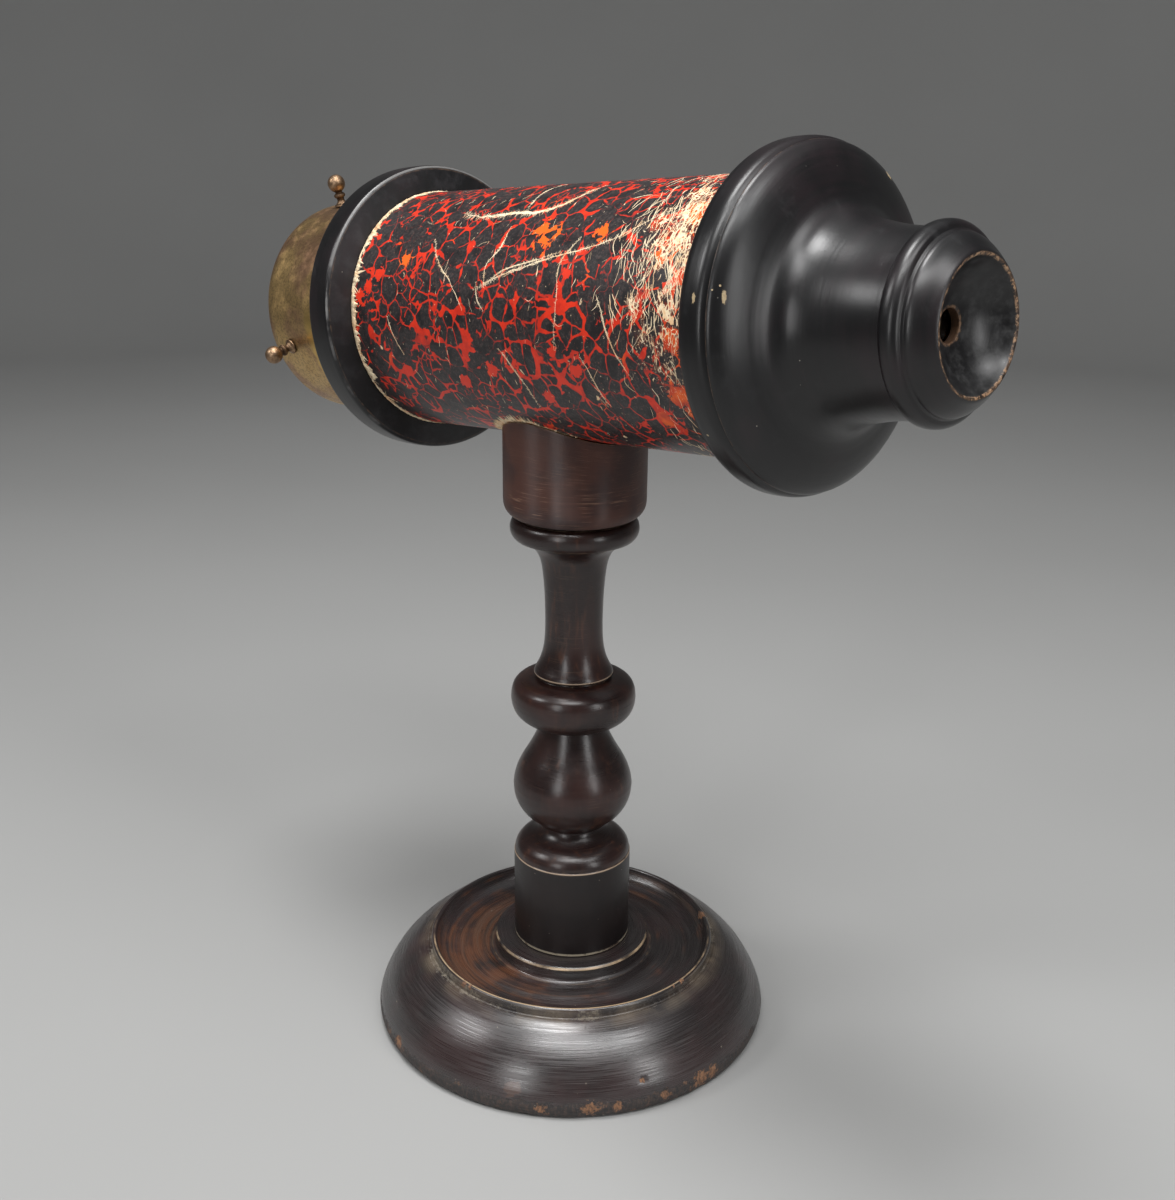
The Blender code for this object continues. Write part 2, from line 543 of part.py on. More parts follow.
def make_mirrors(group, cutters, barrel):
    """Two mirrors in a V, the blackened strip across it and the two discs that hold them."""
    half = MIRROR_ANGLE / 2
    slope = math.tan(half)
    start = FIT / 2 / math.sin(half)
    silver = material("mirror_silver", (0.88, 0.90, 0.90), 0.04, 1.0)
    for name, side in (("mirror_left", 1), ("mirror_right", -1)):
        down = Vector((side * math.sin(half), -math.cos(half)))
        out = Vector((side * math.cos(half), math.sin(half)))
        apex = Vector((0, MIRROR_APEX))
        inner_top = apex + down * start
        inner_low = inner_top + down * MIRROR_WIDTH
        corners = [inner_top, inner_low, inner_low + out * MIRROR_THICKNESS, inner_top + out * MIRROR_THICKNESS]
        plate = prism(name, corners, MIRROR_REAR, MIRROR_FRONT, group, barrel)
        plate.data.materials.append(silver)
    low = MIRROR_APEX - (MIRROR_WIDTH + start) * math.cos(half)
    strip_top = MIRROR_APEX - (MIRROR_APEX - low) * BACKING_SHARE + BACKING_THICKNESS
    strip_low = strip_top - BACKING_THICKNESS
    reach = (MIRROR_APEX - strip_top) * slope - FIT / math.cos(half)
    corners = [(-reach, strip_low), (reach, strip_low), (reach, strip_top), (-reach, strip_top)]
    black = material("blackened_card", (0.010, 0.010, 0.010), 0.9)
    strip = prism("mirror_backing", corners, MIRROR_REAR, MIRROR_FRONT, group, barrel)
    strip.data.materials.append(black)
    spread = (MIRROR_THICKNESS + FIT) / math.cos(half)
    top = MIRROR_APEX + MIRROR_THICKNESS * math.sin(half) + FIT
    wide_top = (MIRROR_APEX - top) * slope + spread
    wide_low = (MIRROR_APEX - low + FIT) * slope + spread
    opening = [(-wide_low, low - FIT), (wide_low, low - FIT), (wide_top, top), (-wide_top, top)]
    pine = material("cradle_pine", (0.45, 0.30, 0.16), 0.7)
    rear = MIRROR_REAR + CRADLE_SETBACK
    cradles = (
        ("mirror_cradle_rear", SLEEVE_INNER - FIT, rear),
        ("mirror_cradle_front", TUBE_INNER - FIT, CRADLE_FRONT_END - CRADLE_LENGTH),
    )
    for name, radius, back in cradles:
        cradle = turned(name, disc(radius, back, back + CRADLE_LENGTH), BARREL_STEPS, group, barrel, pine)
        hole = prism(name + "_hole", opening, back - OVERRUN, back + CRADLE_LENGTH + OVERRUN, cutters, barrel)
        cut(cradle, as_cutter(hole))
    glass = material("end_glass", (0.80, 0.85, 0.84), 0.03)
    end_radius = SLEEVE_INNER - FIT
    turned("end_glass", disc(end_radius, END_GLASS_REAR, END_GLASS_FRONT), BARREL_STEPS, group, barrel, glass)
    brass = material("end_ring_brass", (0.60, 0.45, 0.20), 0.35, 1.0)
    ring_outline = sleeve(end_radius, end_radius - CELL_RING_WALL, SLEEVE_REAR, END_RING_FRONT)
    turned("end_glass_ring", ring_outline, BARREL_STEPS, group, barrel, brass)


def make_drum(group, cutters, cell):
    """Brass drum with its flange, shoulder and lip, the cell's glasses and rings, and holes for the knobs."""
    centre = DRUM_OUTER - DRUM_SHOULDER
    level = DRUM_END + DRUM_SHOULDER
    opening = centre - DRUM_LIP
    outline = [(DRUM_FLANGE_RADIUS, DRUM_FRONT), (DRUM_FLANGE_RADIUS, DRUM_FRONT - DRUM_FLANGE)]
    outline += [(DRUM_OUTER, DRUM_FRONT - DRUM_FLANGE)]
    outline += arc(centre, level, DRUM_SHOULDER, 0, -math.pi / 2, ROUND_STEPS)
    outline += [(opening, DRUM_END), (opening, DRUM_END + DRUM_WALL)]
    outline += arc(centre, level, DRUM_SHOULDER - DRUM_WALL, -math.pi / 2, 0, ROUND_STEPS)
    outline += [(DRUM_INNER, DRUM_FRONT)]
    brass = material("drum_brass", (0.50, 0.36, 0.13), 0.42, 1.0)
    drum = turned("cell_drum", outline, BARREL_STEPS, group, cell, brass)
    card = material("spacer_card", (0.30, 0.24, 0.16), 0.8)
    spacer_outline = sleeve(CELL_RADIUS, SPACER_INNER, SPACER_REAR, SPACER_FRONT)
    spacer = turned("cell_spacer", spacer_outline, BARREL_STEPS, group, cell, card)
    for i, angle in enumerate(KNOB_ANGLES, 1):
        hole_outline = disc(KNOB_SHANK_RADIUS + FIT, SPACER_INNER - OVERRUN, DRUM_OUTER + OVERRUN)
        hole = as_cutter(turned(f"knob_hole_{i}", hole_outline, SMALL_STEPS, cutters, cell))
        point_outwards(hole, angle, KNOB_PLACE)
        cut(drum, hole)
        cut(spacer, hole)
    clear = material("cell_glass", (0.80, 0.85, 0.84), 0.03)
    turned("cell_glass", disc(CELL_RADIUS, CELL_GLASS_REAR, CELL_GLASS_FRONT), BARREL_STEPS, group, cell, clear)
    ground = material("ground_glass", (0.82, 0.84, 0.82), 0.6)
    turned("ground_glass", disc(CELL_RADIUS, GROUND_REAR, GROUND_FRONT), BARREL_STEPS, group, cell, ground)
    spring = material("cell_ring_brass", (0.60, 0.45, 0.20), 0.35, 1.0)
    ring_outline = sleeve(CELL_RADIUS, CELL_RADIUS - CELL_RING_WALL, CELL_RING_REAR, CELL_RING_FRONT)
    turned("cell_glass_ring", ring_outline, BARREL_STEPS, group, cell, spring)


def make_knobs(group, cell):
    """Turned brass knobs: foot, neck, bead and ball, with a shank through the drum into the spacer."""
    seat = DRUM_OUTER + FIT
    brass = material("knob_brass", (0.42, 0.27, 0.15), 0.36, 1.0)
    for i, angle in enumerate(KNOB_ANGLES, 1):
        outline = stack(KNOB_SHARES, KNOB_RADIUS, seat, KNOB_HEIGHT)
        outline += [(KNOB_SHANK_RADIUS, seat), (KNOB_SHANK_RADIUS, SPACER_INNER + FIT), (0, SPACER_INNER + FIT)]
        point_outwards(turned(f"knob_{i}", outline, SMALL_STEPS, group, cell, brass), angle, KNOB_PLACE)


def make_chips(group, cell):
    """Loose cut glass lying in the bottom of the cell."""
    wall = SPACER_INNER * math.cos(math.pi / BARREL_STEPS)
    middle = (len(CHIP_SHARES) - 1) / 2
    for i, (sides, wide, high, narrow) in enumerate(CHIP_SHARES):
        radius = CHIP_RADIUS * wide
        height = CHIP_HEIGHT * high
        work = bmesh.new()
        bmesh.ops.create_cone(
            work, cap_ends=True, segments=sides, radius1=radius * narrow, radius2=radius, depth=height
        )
        reach = math.sqrt(wall ** 2 - radius ** 2) - FIT - height / 2
        bmesh.ops.translate(work, verts=work.verts, vec=(0, 0, reach))
        mesh = bpy.data.meshes.new(f"glass_chip_{i + 1}")
        work.to_mesh(mesh)
        work.free()
        finish = material(f"chip_glass_{i + 1}", CHIP_COLOURS[i], 0.05)
        item = place(bpy.data.objects.new(mesh.name, mesh), group, cell, finish)
        point_outwards(item, math.radians(270) + (i - middle) * CHIP_SPACING, KNOB_PLACE)


def settle(items):
    """Keep each piece's finished mesh, smooth but for its sharp edges."""
    view = bpy.context.evaluated_depsgraph_get()
    finished = {item: bpy.data.meshes.new_from_object(item.evaluated_get(view)) for item in items}
    for item, mesh in finished.items():
        item.modifiers.clear()
        item.data = mesh
        mesh.name = item.name
        mesh.shade_smooth()
        mesh.set_sharp_from_angle(angle=SHARP_ANGLE)


def main():
    """Build the kaleidoscope."""
    clear_scene()
    group = new_collection("kaleidoscope")
    cutters = new_collection("cutters")
    barrel = axis_empty("barrel_axis", group, None, (0, 0, AXIS_HEIGHT), (0, math.pi / 2 - BARREL_RISE, 0))
    cell = axis_empty("cell_axis", group, barrel)
    make_base(group)
    make_column(group)
    screw_hole = make_screw(group, cutters, barrel)
    make_cup(group, cutters, barrel, screw_hole)
    make_tube(group, barrel, screw_hole)
    make_bell(group, barrel)
    make_rear_ring(group, barrel)
    make_mirrors(group, cutters, barrel)
    make_drum(group, cutters, cell)
    make_knobs(group, cell)
    make_chips(group, cell)
    bpy.context.view_layer.update()
    settle([item for item in group.objects if item.type == "MESH"])


main()
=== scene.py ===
"""Looks of a parlour kaleidoscope on a turned stand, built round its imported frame.

Metres, +Z up. A piece of the stand is turned round the frame's Z. A piece of the barrel is turned round its
own Z, which runs along the barrel to the eye, and BARREL puts it in place. Outlines are in millimetres, as
stretches of (radius, height): a stretch of two points is straight, a longer one is a smooth curve, and an edge
is eased where two stretches meet. The turned pieces carry three values per point: run, the distance along the
outline, edge, how near an outer edge is, and groove, how near an inner one is.
"""

import json
import math
import random

import bmesh
import bpy
from mathutils import Matrix, Vector, noise


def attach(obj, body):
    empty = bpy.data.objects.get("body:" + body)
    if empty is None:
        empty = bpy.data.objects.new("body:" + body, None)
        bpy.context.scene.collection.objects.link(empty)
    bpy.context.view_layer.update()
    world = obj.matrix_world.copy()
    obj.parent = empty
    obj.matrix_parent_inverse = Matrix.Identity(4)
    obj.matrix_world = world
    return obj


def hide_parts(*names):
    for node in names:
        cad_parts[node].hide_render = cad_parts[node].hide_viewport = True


bl_info = {
    "name": "Parlour kaleidoscope",
    "version": (1, 0, 0),
    "blender": (4, 5, 0),
    "location": "3D View > Sidebar > Kaleidoscope",
    "description": "Builds a turned table kaleidoscope round its packed frame",
    "category": "Object",
}

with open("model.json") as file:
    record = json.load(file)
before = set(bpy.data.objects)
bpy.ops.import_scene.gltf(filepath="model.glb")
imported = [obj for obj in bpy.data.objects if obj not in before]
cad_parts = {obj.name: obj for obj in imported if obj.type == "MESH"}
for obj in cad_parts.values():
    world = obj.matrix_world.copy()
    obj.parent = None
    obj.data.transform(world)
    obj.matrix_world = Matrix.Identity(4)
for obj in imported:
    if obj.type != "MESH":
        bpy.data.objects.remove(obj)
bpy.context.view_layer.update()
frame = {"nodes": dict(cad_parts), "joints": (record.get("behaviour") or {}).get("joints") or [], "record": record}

MM = 0.001
SPIN = next(joint for joint in frame["joints"] if joint["name"] == "cell_spin")
AXIS_POINT = Vector(SPIN["pos_m"])
AXIS_WAY = Vector(SPIN["axis"]).normalized()
SIDEWAYS = Vector((0, 1, 0))
DOWN = SIDEWAYS.cross(AXIS_WAY)
BARREL = Matrix.Translation(AXIS_POINT) @ Matrix((DOWN, SIDEWAYS, AXIS_WAY)).transposed().to_4x4()

# How finely the pieces are turned, and how their outlines are drawn, in millimetres.
WIDE_STEPS = 224
POST_STEPS = 160
SMALL_STEPS = 56
CURVE_STEP = 0.55
FLAT_STEP = 1.6
EDGE_EASE = 0.3
EASE_POINTS = 4
EDGE_FADE = 0.5
GROOVE_FADE = 1.3
SAME_POINT = 0.01
CORNER_ANGLE = math.radians(14)

BASE_OUTLINE = (
    ((0, 0), (67.2, 0)),
    ((67.2, 0), (68.5, 1.2), (69.2, 4.2), (68.29, 8.0), (66.6, 11.55), (63.99, 15.85), (60.2, 20.05),
     (56.3, 23.25), (53.8, 24.75), (52.3, 25.5), (51.3, 25.85)),
    ((51.3, 25.85), (50.8, 25.6), (50.35, 25.55), (50.15, 25.9)),
    ((50.15, 25.9), (50.1, 28.1)),
    ((50.1, 28.1), (49.8, 28.7), (49.3, 28.9)),
    ((49.3, 28.9), (48.7, 28.75), (48.35, 28.1)),
    ((48.35, 28.1), (47.67, 26.9), (46.19, 25.16), (43.66, 23.96), (39.86, 23.7), (36.06, 24.64),
     (32.9, 24.95), (30.15, 24.3), (28.5, 24.1)),
    ((28.5, 24.1), (27.5, 24.6), (27.2, 25.6)),
    ((27.2, 25.6), (27.2, 28.7)),
    ((27.2, 28.7), (26.5, 29.5)),
    ((26.5, 29.5), (7.3, 29.5)),
    ((7.3, 29.5), (7.3, 8.0)),
    ((7.3, 8.0), (0, 8.0)),
)
COLUMN_OUTLINE = (
    ((0, 8.3), (7.0, 8.3)),
    ((7.0, 8.3), (7.0, 29.8)),
    ((7.0, 29.8), (20.3, 29.8)),
    ((20.3, 29.8), (20.3, 62.0)),
    ((20.3, 62.0), (19.95, 62.35)),
    ((19.95, 62.35), (19.9, 63.6), (19.2, 65.3), (17.8, 66.9), (16.0, 68.05), (14.0, 69.0), (12.4, 70.1),
     (11.3, 71.4), (10.8, 72.6), (10.85, 73.2)),
    ((10.85, 73.2), (12.2, 73.3), (12.6, 73.9)),
    ((12.6, 73.9), (13.4, 74.8), (16.12, 77.0), (18.16, 79.6), (19.45, 82.2), (20.15, 84.9), (20.42, 87.9)),
    ((20.42, 87.9), (19.95, 90.9), (18.87, 94.2), (17.24, 97.5), (15.4, 100.6), (13.57, 104.0),
     (12.04, 107.3), (11.0, 110.2)),
    ((11.0, 110.2), (13.3, 110.8), (17.1, 112.6), (19.6, 115.0), (20.75, 117.8), (21.02, 120.2)),
    ((21.02, 120.2), (20.75, 122.6), (19.9, 124.7), (18.2, 126.2), (15.7, 127.1), (12.3, 127.4)),
    ((12.3, 127.4), (11.9, 127.9)),
    ((11.9, 127.9), (12.9, 128.4), (13.3, 129.0)),
    ((13.3, 129.0), (13.0, 129.9), (12.1, 131.6), (11.2, 133.6), (10.45, 136.0), (9.9, 139.0), (9.6, 143.0),
     (9.55, 149.5), (9.79, 156.7), (10.25, 162.6), (10.8, 166.6), (11.6, 169.4), (12.9, 171.7), (15.0, 173.6),
     (17.6, 175.0)),
    ((17.6, 175.0), (19.5, 175.7)),
    ((19.5, 175.7), (20.5, 176.9), (20.98, 178.6), (20.8, 180.4), (20.0, 181.9), (18.6, 182.5)),
    ((18.6, 182.5), (7.0, 182.5)),
    ((7.0, 182.5), (7.0, 195.65)),
    ((7.0, 195.65), (0, 195.65)),
)
CUP_TOP = 246.6
CUP_LEVEL = 196.5
CUP_SEAT_RADIUS = 38.3
CUP_RADIUS = 23.1
CUP_OUTLINE = (
    ((7.4, 182.8), (17.2, 182.8)),
    ((17.2, 182.8), (19.6, 183.2), (21.6, 184.5), (22.8, 186.5), (23.1, 188.9), (23.1, 190.5)),
    ((23.1, 190.5), (23.1, CUP_LEVEL)),
    ((23.1, CUP_LEVEL), (23.1, CUP_TOP)),
    ((23.1, CUP_TOP), (0, CUP_TOP)),
    ((0, 196.05), (7.4, 196.05)),
    ((7.4, 196.05), (7.4, 182.8)),
)
BELL_OUTLINE = (
    ((34.75, 73.5), (34.75, 85.5)),
    ((34.75, 85.5), (44.2, 85.5)),
    ((44.2, 85.5), (45.3, 85.8), (45.95, 87.1), (46.1, 89.6), (46.0, 91.9), (45.5, 93.1), (44.9, 93.6)),
    ((44.9, 93.6), (44.45, 94.0)),
    ((44.45, 94.0), (45.1, 94.3)),
    ((45.1, 94.3), (44.9, 94.9), (44.4, 95.6), (42.69, 97.0), (40.08, 98.35), (36.92, 99.56), (33.43, 100.7),
     (30.27, 102.1), (27.9, 104.3), (26.2, 107.9), (24.93, 113.1), (23.88, 119.1), (23.4, 125.3),
     (23.35, 128.6)),
    ((23.35, 128.6), (23.9, 128.95)),
    ((23.9, 128.95), (24.75, 129.8), (25.0, 131.3), (24.75, 132.7), (23.9, 133.8), (22.7, 134.3)),
    ((22.7, 134.3), (22.2, 134.8)),
    ((22.2, 134.8), (22.1, 135.7), (21.38, 137.0), (20.24, 138.4), (18.84, 139.8), (17.8, 140.8),
     (17.2, 141.1)),
    ((17.2, 141.1), (16.6, 140.9)),
    ((16.6, 140.9), (15.3, 138.9), (13.1, 136.6), (10.2, 134.6), (7.2, 133.3), (4.3, 132.6)),
    ((4.3, 132.6), (4.2, 130.2)),
    ((4.2, 130.2), (9.3, 130.2)),
    ((9.3, 130.2), (9.3, 126.1)),
    ((9.3, 126.1), (16.5, 126.1)),
    ((16.5, 126.1), (16.5, 97.5)),
    ((16.5, 97.5), (31.35, 94.1)),
    ((31.35, 94.1), (31.35, 73.5)),
    ((31.35, 73.5), (34.75, 73.5)),
)
RING_OUTLINE = (
    ((37.65, -65.6), (38.6, -65.65), (42.0, -66.35), (45.3, -67.05)),
    ((45.3, -67.05), (46.2, -67.6), (46.45, -68.6)),
    ((46.45, -68.6), (46.5, -71.8), (46.4, -75.6)),
    ((46.4, -75.6), (46.2, -77.2), (45.4, -78.1)),
    ((45.4, -78.1), (36.35, -78.1)),
    ((36.35, -78.1), (36.35, -73.7)),
    ((36.35, -73.7), (37.65, -73.7)),
    ((37.65, -73.7), (37.65, -65.6)),
)
DRUM_OUTLINE = (
    ((37.25, -72.3), (37.25, -73.3)),
    ((37.25, -73.3), (35.95, -73.3)),
    ((35.95, -73.3), (35.95, -117.4)),
    ((35.95, -117.4), (35.5, -120.2), (34.2, -122.2), (32.2, -123.5), (29.9, -124.0)),
    ((29.9, -124.0), (27.95, -124.0)),
    ((27.95, -124.0), (27.95, -123.2)),
    ((27.95, -123.2), (29.8, -123.2)),
    ((29.8, -123.2), (31.8, -122.8), (33.6, -121.5), (34.8, -119.8), (35.15, -117.4)),
    ((35.15, -117.4), (35.15, -72.3)),
    ((35.15, -72.3), (37.25, -72.3)),
)
KNOB_OUTLINE = (
    ((0, 46.75), (1.0, 46.58), (2.05, 45.94), (2.78, 44.88), (3.0, 43.75), (2.78, 42.62), (2.1, 41.6),
     (1.3, 41.0)),
    ((1.3, 41.0), (1.14, 40.75), (1.3, 40.5)),
    ((1.3, 40.5), (1.8, 40.2), (1.98, 39.7), (1.8, 39.2), (1.35, 38.9)),
    ((1.35, 38.9), (1.2, 38.3), (1.35, 37.7), (1.9, 37.05), (2.5, 36.75)),
    ((2.5, 36.75), (2.65, 36.25)),
    ((2.65, 36.25), (1.1, 36.25)),
    ((1.1, 36.25), (1.1, 33.85)),
    ((1.1, 33.85), (0, 33.85)),
)
KNOB_ANGLES = (14.0, 103.0, 197.0, 286.0)
KNOB_HEIGHT_ALONG = -109.4

# The paper round the tube: radii and ends along the barrel, in millimetres.
PAPER_RADIUS = 38.0
PAPER_INNER = 37.65
PAPER_REAR = -65.3
PAPER_FRONT = 85.2
PAPER_STEPS = 256

# Torn paper: how deep a strip's line, its underside and the torn edge's foot lie, in millimetres, how much the
# sides of a strip wander, as a share of its half width, and the torn edge's steps.
FIBRE_DEPTH = 0.06
STRIP_DEPTH = 0.12
LIP_DEPTH = 0.15
STRIP_RAG_SHARE = 0.35
LIP_STEPS = 720

# Long scratches in the paper: width in millimetres, then places along the barrel in millimetres, each with its
# angle from straight down in degrees.
SCRATCHES = (
    (0.30, ((-29.3, -129.2), (-25.5, -121.0), (-21.9, -115.5), (-15.3, -108.2), (-8.4, -96.5))),
    (0.42, ((-4.0, -104.5), (1.2, -107.7), (15.2, -114.5), (29.5, -119.8), (44.6, -124.9), (54.1, -131.3),
            (66.0, -143.5))),
    (0.30, ((0.0, -106.0), (8.0, -113.5), (16.5, -116.6), (30.5, -121.5))),
    (0.75, ((-23.9, -144.2), (-16.0, -141.8), (-9.0, -141.4), (2.0, -143.0), (11.7, -142.8), (20.3, -149.8),
            (25.6, -165.0))),
    (0.36, ((1.0, -105.8), (-0.2, -115.4), (3.5, -123.7), (3.7, -135.1))),
    (0.34, ((4.5, -146.4), (2.8, -158.6), (3.1, -173.1))),
    (0.26, ((36.0, -128.0), (31.4, -116.3), (32.7, -101.3), (31.0, -80.9))),
    (0.30, ((48.0, -104.0), (50.2, -98.6), (54.3, -83.9), (59.5, -71.1))),
    (0.24, ((41.0, -79.0), (43.1, -73.1), (45.9, -57.3))),
    (0.30, ((7.0, -80.0), (9.9, -75.1), (14.2, -61.8), (14.8, -51.7))),
    (0.24, ((-3.0, -108.0), (-1.5, -101.0), (1.5, -96.0))),
    (0.20, ((-46.0, -92.0), (-44.0, -84.0), (-40.5, -74.0))),
)

# Larger tongues of the torn edge: angle from straight down in degrees, length and width in millimetres.
TONGUES = (
    (-112.0, 4.6, 2.0), (-118.0, 2.6, 1.4), (-104.0, 2.0, 1.3), (-96.0, 1.8, 1.2), (-84.0, 2.2, 1.0),
    (-128.0, 2.0, 1.4), (-137.0, 1.8, 1.6), (-70.0, 1.6, 0.9), (-146.0, 1.6, 1.2), (70.0, 2.6, 1.4),
    (140.0, 3.0, 1.6),
)

# Spots of the paper, as angle from straight down, place along and size: blots of colour, where the red has
# faded, where the paper is rubbed red, and where it is rubbed bare.
BLOTS = (
    (-129.4, 22.2, 3.6), (-133.0, 18.0, 2.4), (-130.7, 43.0, 2.6), (-112.0, 35.0, 1.8), (-62.0, -14.0, 2.6),
    (-66.0, -42.0, 2.2), (-70.0, 1.0, 2.2), (-72.0, 38.0, 2.4), (-112.0, -52.0, 2.4), (-100.0, -60.0, 2.6),
    (20.0, 30.0, 3.0), (80.0, -20.0, 2.8), (130.0, 10.0, 3.2), (165.0, -35.0, 2.6), (60.0, 50.0, 2.4),
    (-118.0, -40.0, 2.0), (-106.0, -57.0, 2.2), (-80.0, 30.0, 2.0), (-58.0, 22.0, 2.4),
)
FADED = (
    (-129.4, 22.2, 5.4), (-133.0, 17.0, 3.6), (-130.7, 43.0, 4.2), (-128.0, 77.0, 6.0), (-118.0, 70.0, 4.0),
    (-118.0, -40.0, 3.6), (60.0, 50.0, 5.0), (165.0, -35.0, 4.0),
)
RED_RUBS = (
    (-86.7, 76.4, 3.4), (-64.6, 75.0, 4.2), (-58.0, 79.0, 3.6), (-112.0, 78.5, 3.0), (-140.0, 74.0, 3.6),
    (-52.0, 66.0, 3.0), (30.0, 76.0, 4.0), (95.0, 78.0, 3.4), (150.0, 72.0, 3.8),
)
BARE_RUBS = (
    (-97.4, 74.6, 1.6), (-99.5, 72.6, 1.0), (-95.0, 76.4, 0.9), (-128.0, 73.0, 1.2), (-136.0, 80.0, 1.3),
    (-34.0, 41.0, 0.7), (-60.0, 43.0, 0.7), (-77.0, -52.0, 0.7), (120.0, 76.0, 1.2), (64.0, 80.0, 1.0),
    (-172.0, 78.0, 1.3),
)

# Nets of fine scratches near the flange: lean from the barrel's line in degrees, length and width of a scratch
# in millimetres, and how much rarer they are than the first.
HAIRLINES = (
    (92, 8.0, 0.90, 0.0), (74, 6.0, 0.80, 0.015), (110, 6.0, 0.80, 0.02), (40, 4.0, 0.70, 0.04),
    (148, 4.0, 0.70, 0.045),
)

# Pale knocks of the bell: angle from straight down, radius, place along, size, and how far it is drawn out.
BELL_KNOCKS = (
    (-101.8, 46.0, 90.9, 0.65, 0.45), (-102.9, 42.3, 97.2, 0.65, 0.34), (-104.6, 44.5, 95.2, 0.35, 1.0),
    (-106.2, 43.4, 96.4, 0.3, 1.0), (144.2, 43.6, 95.9, 1.3, 0.8), (139.0, 44.8, 94.6, 0.6, 0.8),
    (-58.0, 45.9, 89.0, 0.4, 0.7),
)

# Chips and knocks of the base that show raw wood: centre and size, in millimetres. The wood is knocked back
# only from one radius outwards and below one height.
CHIPPED_RADIUS = 64
CHIPPED_HEIGHT = 12
CHIPS = (
    ((68.8, -4.6, 4.4), 3.2), ((69.0, 0.6, 4.8), 2.4), ((66.4, -19.0, 4.6), 1.8), ((54.8, -42.0, 4.0), 2.6),
    ((60.0, -34.5, 4.0), 1.8), ((43.6, -53.6, 4.2), 1.6), ((-14.0, -67.4, 5.4), 2.2),
    ((0.6, -49.9, 28.0), 1.2), ((3.6, -49.6, 28.3), 0.9), ((49.2, 5.5, 28.6), 1.1), ((49.4, 1.0, 28.4), 0.7),
    ((25.5, 42.4, 28.6), 2.2), ((61.9, -25.2, 11.0), 0.9), ((-40.0, 55.8, 2.0), 3.0),
    ((-66.6, -17.0, 1.8), 2.6), ((20.0, 66.0, 1.6), 2.4),
)

# Where old wax lies thickest beside the base's rim: centre and size, in millimetres.
WAX_SMEARS = (
    ((26.0, 44.7, 25.0), 8.0), ((34.0, 38.5, 25.0), 5.0), ((-22.0, -46.5, 25.0), 7.0),
    ((-10.0, -51.0, 25.0), 7.0), ((4.0, -52.0, 25.0), 5.0), ((42.0, -31.0, 25.0), 5.0),
    ((-45.0, 26.0, 25.0), 6.0),
)

# The camera that took the photograph: its place in millimetres, the ways it looks and lies, and its lens in
# pixels of the photograph.
CAMERA_PLACE = (326.07, -302.29, 307.22)
CAMERA_WAY = (-0.67869, 0.64340, -0.35415)
CAMERA_RIGHT = (0.68799, 0.72572, 0.0)
CAMERA_ROLL = -0.012
PHOTO_SIZE = (1175, 1200)
PHOTO_FOCUS = 1426.488
PHOTO_CENTRE = (588.65, 642.532)
SENSOR = 36.0

# The lamps: name, place, what they point at, width and height in metres, and power in watts.
LAMPS = (
    ("lamp_ceiling", (0.12, 0.05, 1.45), (0.12, 0.05, 0.0), 2.20, 2.20, 3.6),
    ("lamp_top", (0.37, -0.40, 1.06), (0.05, 0.0, 0.15), 0.74, 0.24, 5.2),
    ("lamp_key", (-0.02, -0.12, 1.27), (0.10, -0.02, 0.27), 0.38, 0.38, 8.4),
    ("lamp_left", (-0.42, -0.70, 0.80), (0.06, -0.02, 0.22), 0.26, 0.32, 2.4),
    ("lamp_front", (0.32, -0.98, 0.45), (0.0, 0.0, 0.20), 0.20, 0.60, 2.0),
    ("lamp_right", (0.98, 0.02, 0.45), (0.0, 0.0, 0.20), 0.20, 0.60, 1.8),
    ("lamp_eye", (0.71, 0.05, 1.07), (0.14, 0.0, 0.25), 0.42, 0.42, 3.2),
)
WORLD_COLOUR = (0.86, 0.87, 0.88, 1)
WORLD_LEVEL = 0.12

# The floor: how far it is flat, the radius of its bend and the height of its wall, in metres, and its steps.
FLOOR_REACH = 1.5
FLOOR_CURVE = 0.6
FLOOR_WALL = 1.2
FLOOR_STEPS = 96
BEND_STEPS = 16


class KaleidoscopeSizes(bpy.types.PropertyGroup):
    """Sizes that can be changed without moving a piece off the frame."""

    tear_width: bpy.props.FloatProperty(
        name="Tear width", description="Mean width of the paper's torn edge at the rear ring",
        default=1.7 * MM, min=0.2 * MM, max=3 * MM, unit="LENGTH", precision=4,
    )
    chip_depth: bpy.props.FloatProperty(
        name="Chip depth", description="Depth of the chips in the base's lower edge",
        default=0.7 * MM, min=0, max=2 * MM, unit="LENGTH", precision=4,
    )
    paper_relief: bpy.props.FloatProperty(
        name="Paper relief", description="Height of the paper's slow ripples",
        default=0.07 * MM, min=0, max=0.3 * MM, unit="LENGTH", precision=5,
    )
    cell_size: bpy.props.FloatProperty(
        name="Marbling cell", description="Width of the marbled paper's cells",
        default=6.2 * MM, min=2 * MM, max=20 * MM, unit="LENGTH", precision=4,
    )
    sliver_count: bpy.props.IntProperty(
        name="Slivers", description="Paper slivers that stand off the torn edge", default=260, min=0, max=900,
    )
    rub_scratches: bpy.props.IntProperty(
        name="Rub scratches", description="Scratches round the paper's worn front end",
        default=380, min=0, max=1500,
    )
    stray_scratches: bpy.props.IntProperty(
        name="Stray scratches", description="Short scratches spread round the paper",
        default=150, min=0, max=500,
    )


def colour(title, words, value):
    """A colour that the user can set."""
    return bpy.props.FloatVectorProperty(
        name=title, description=words, subtype="COLOR", size=3, min=0, max=1, default=value,
    )


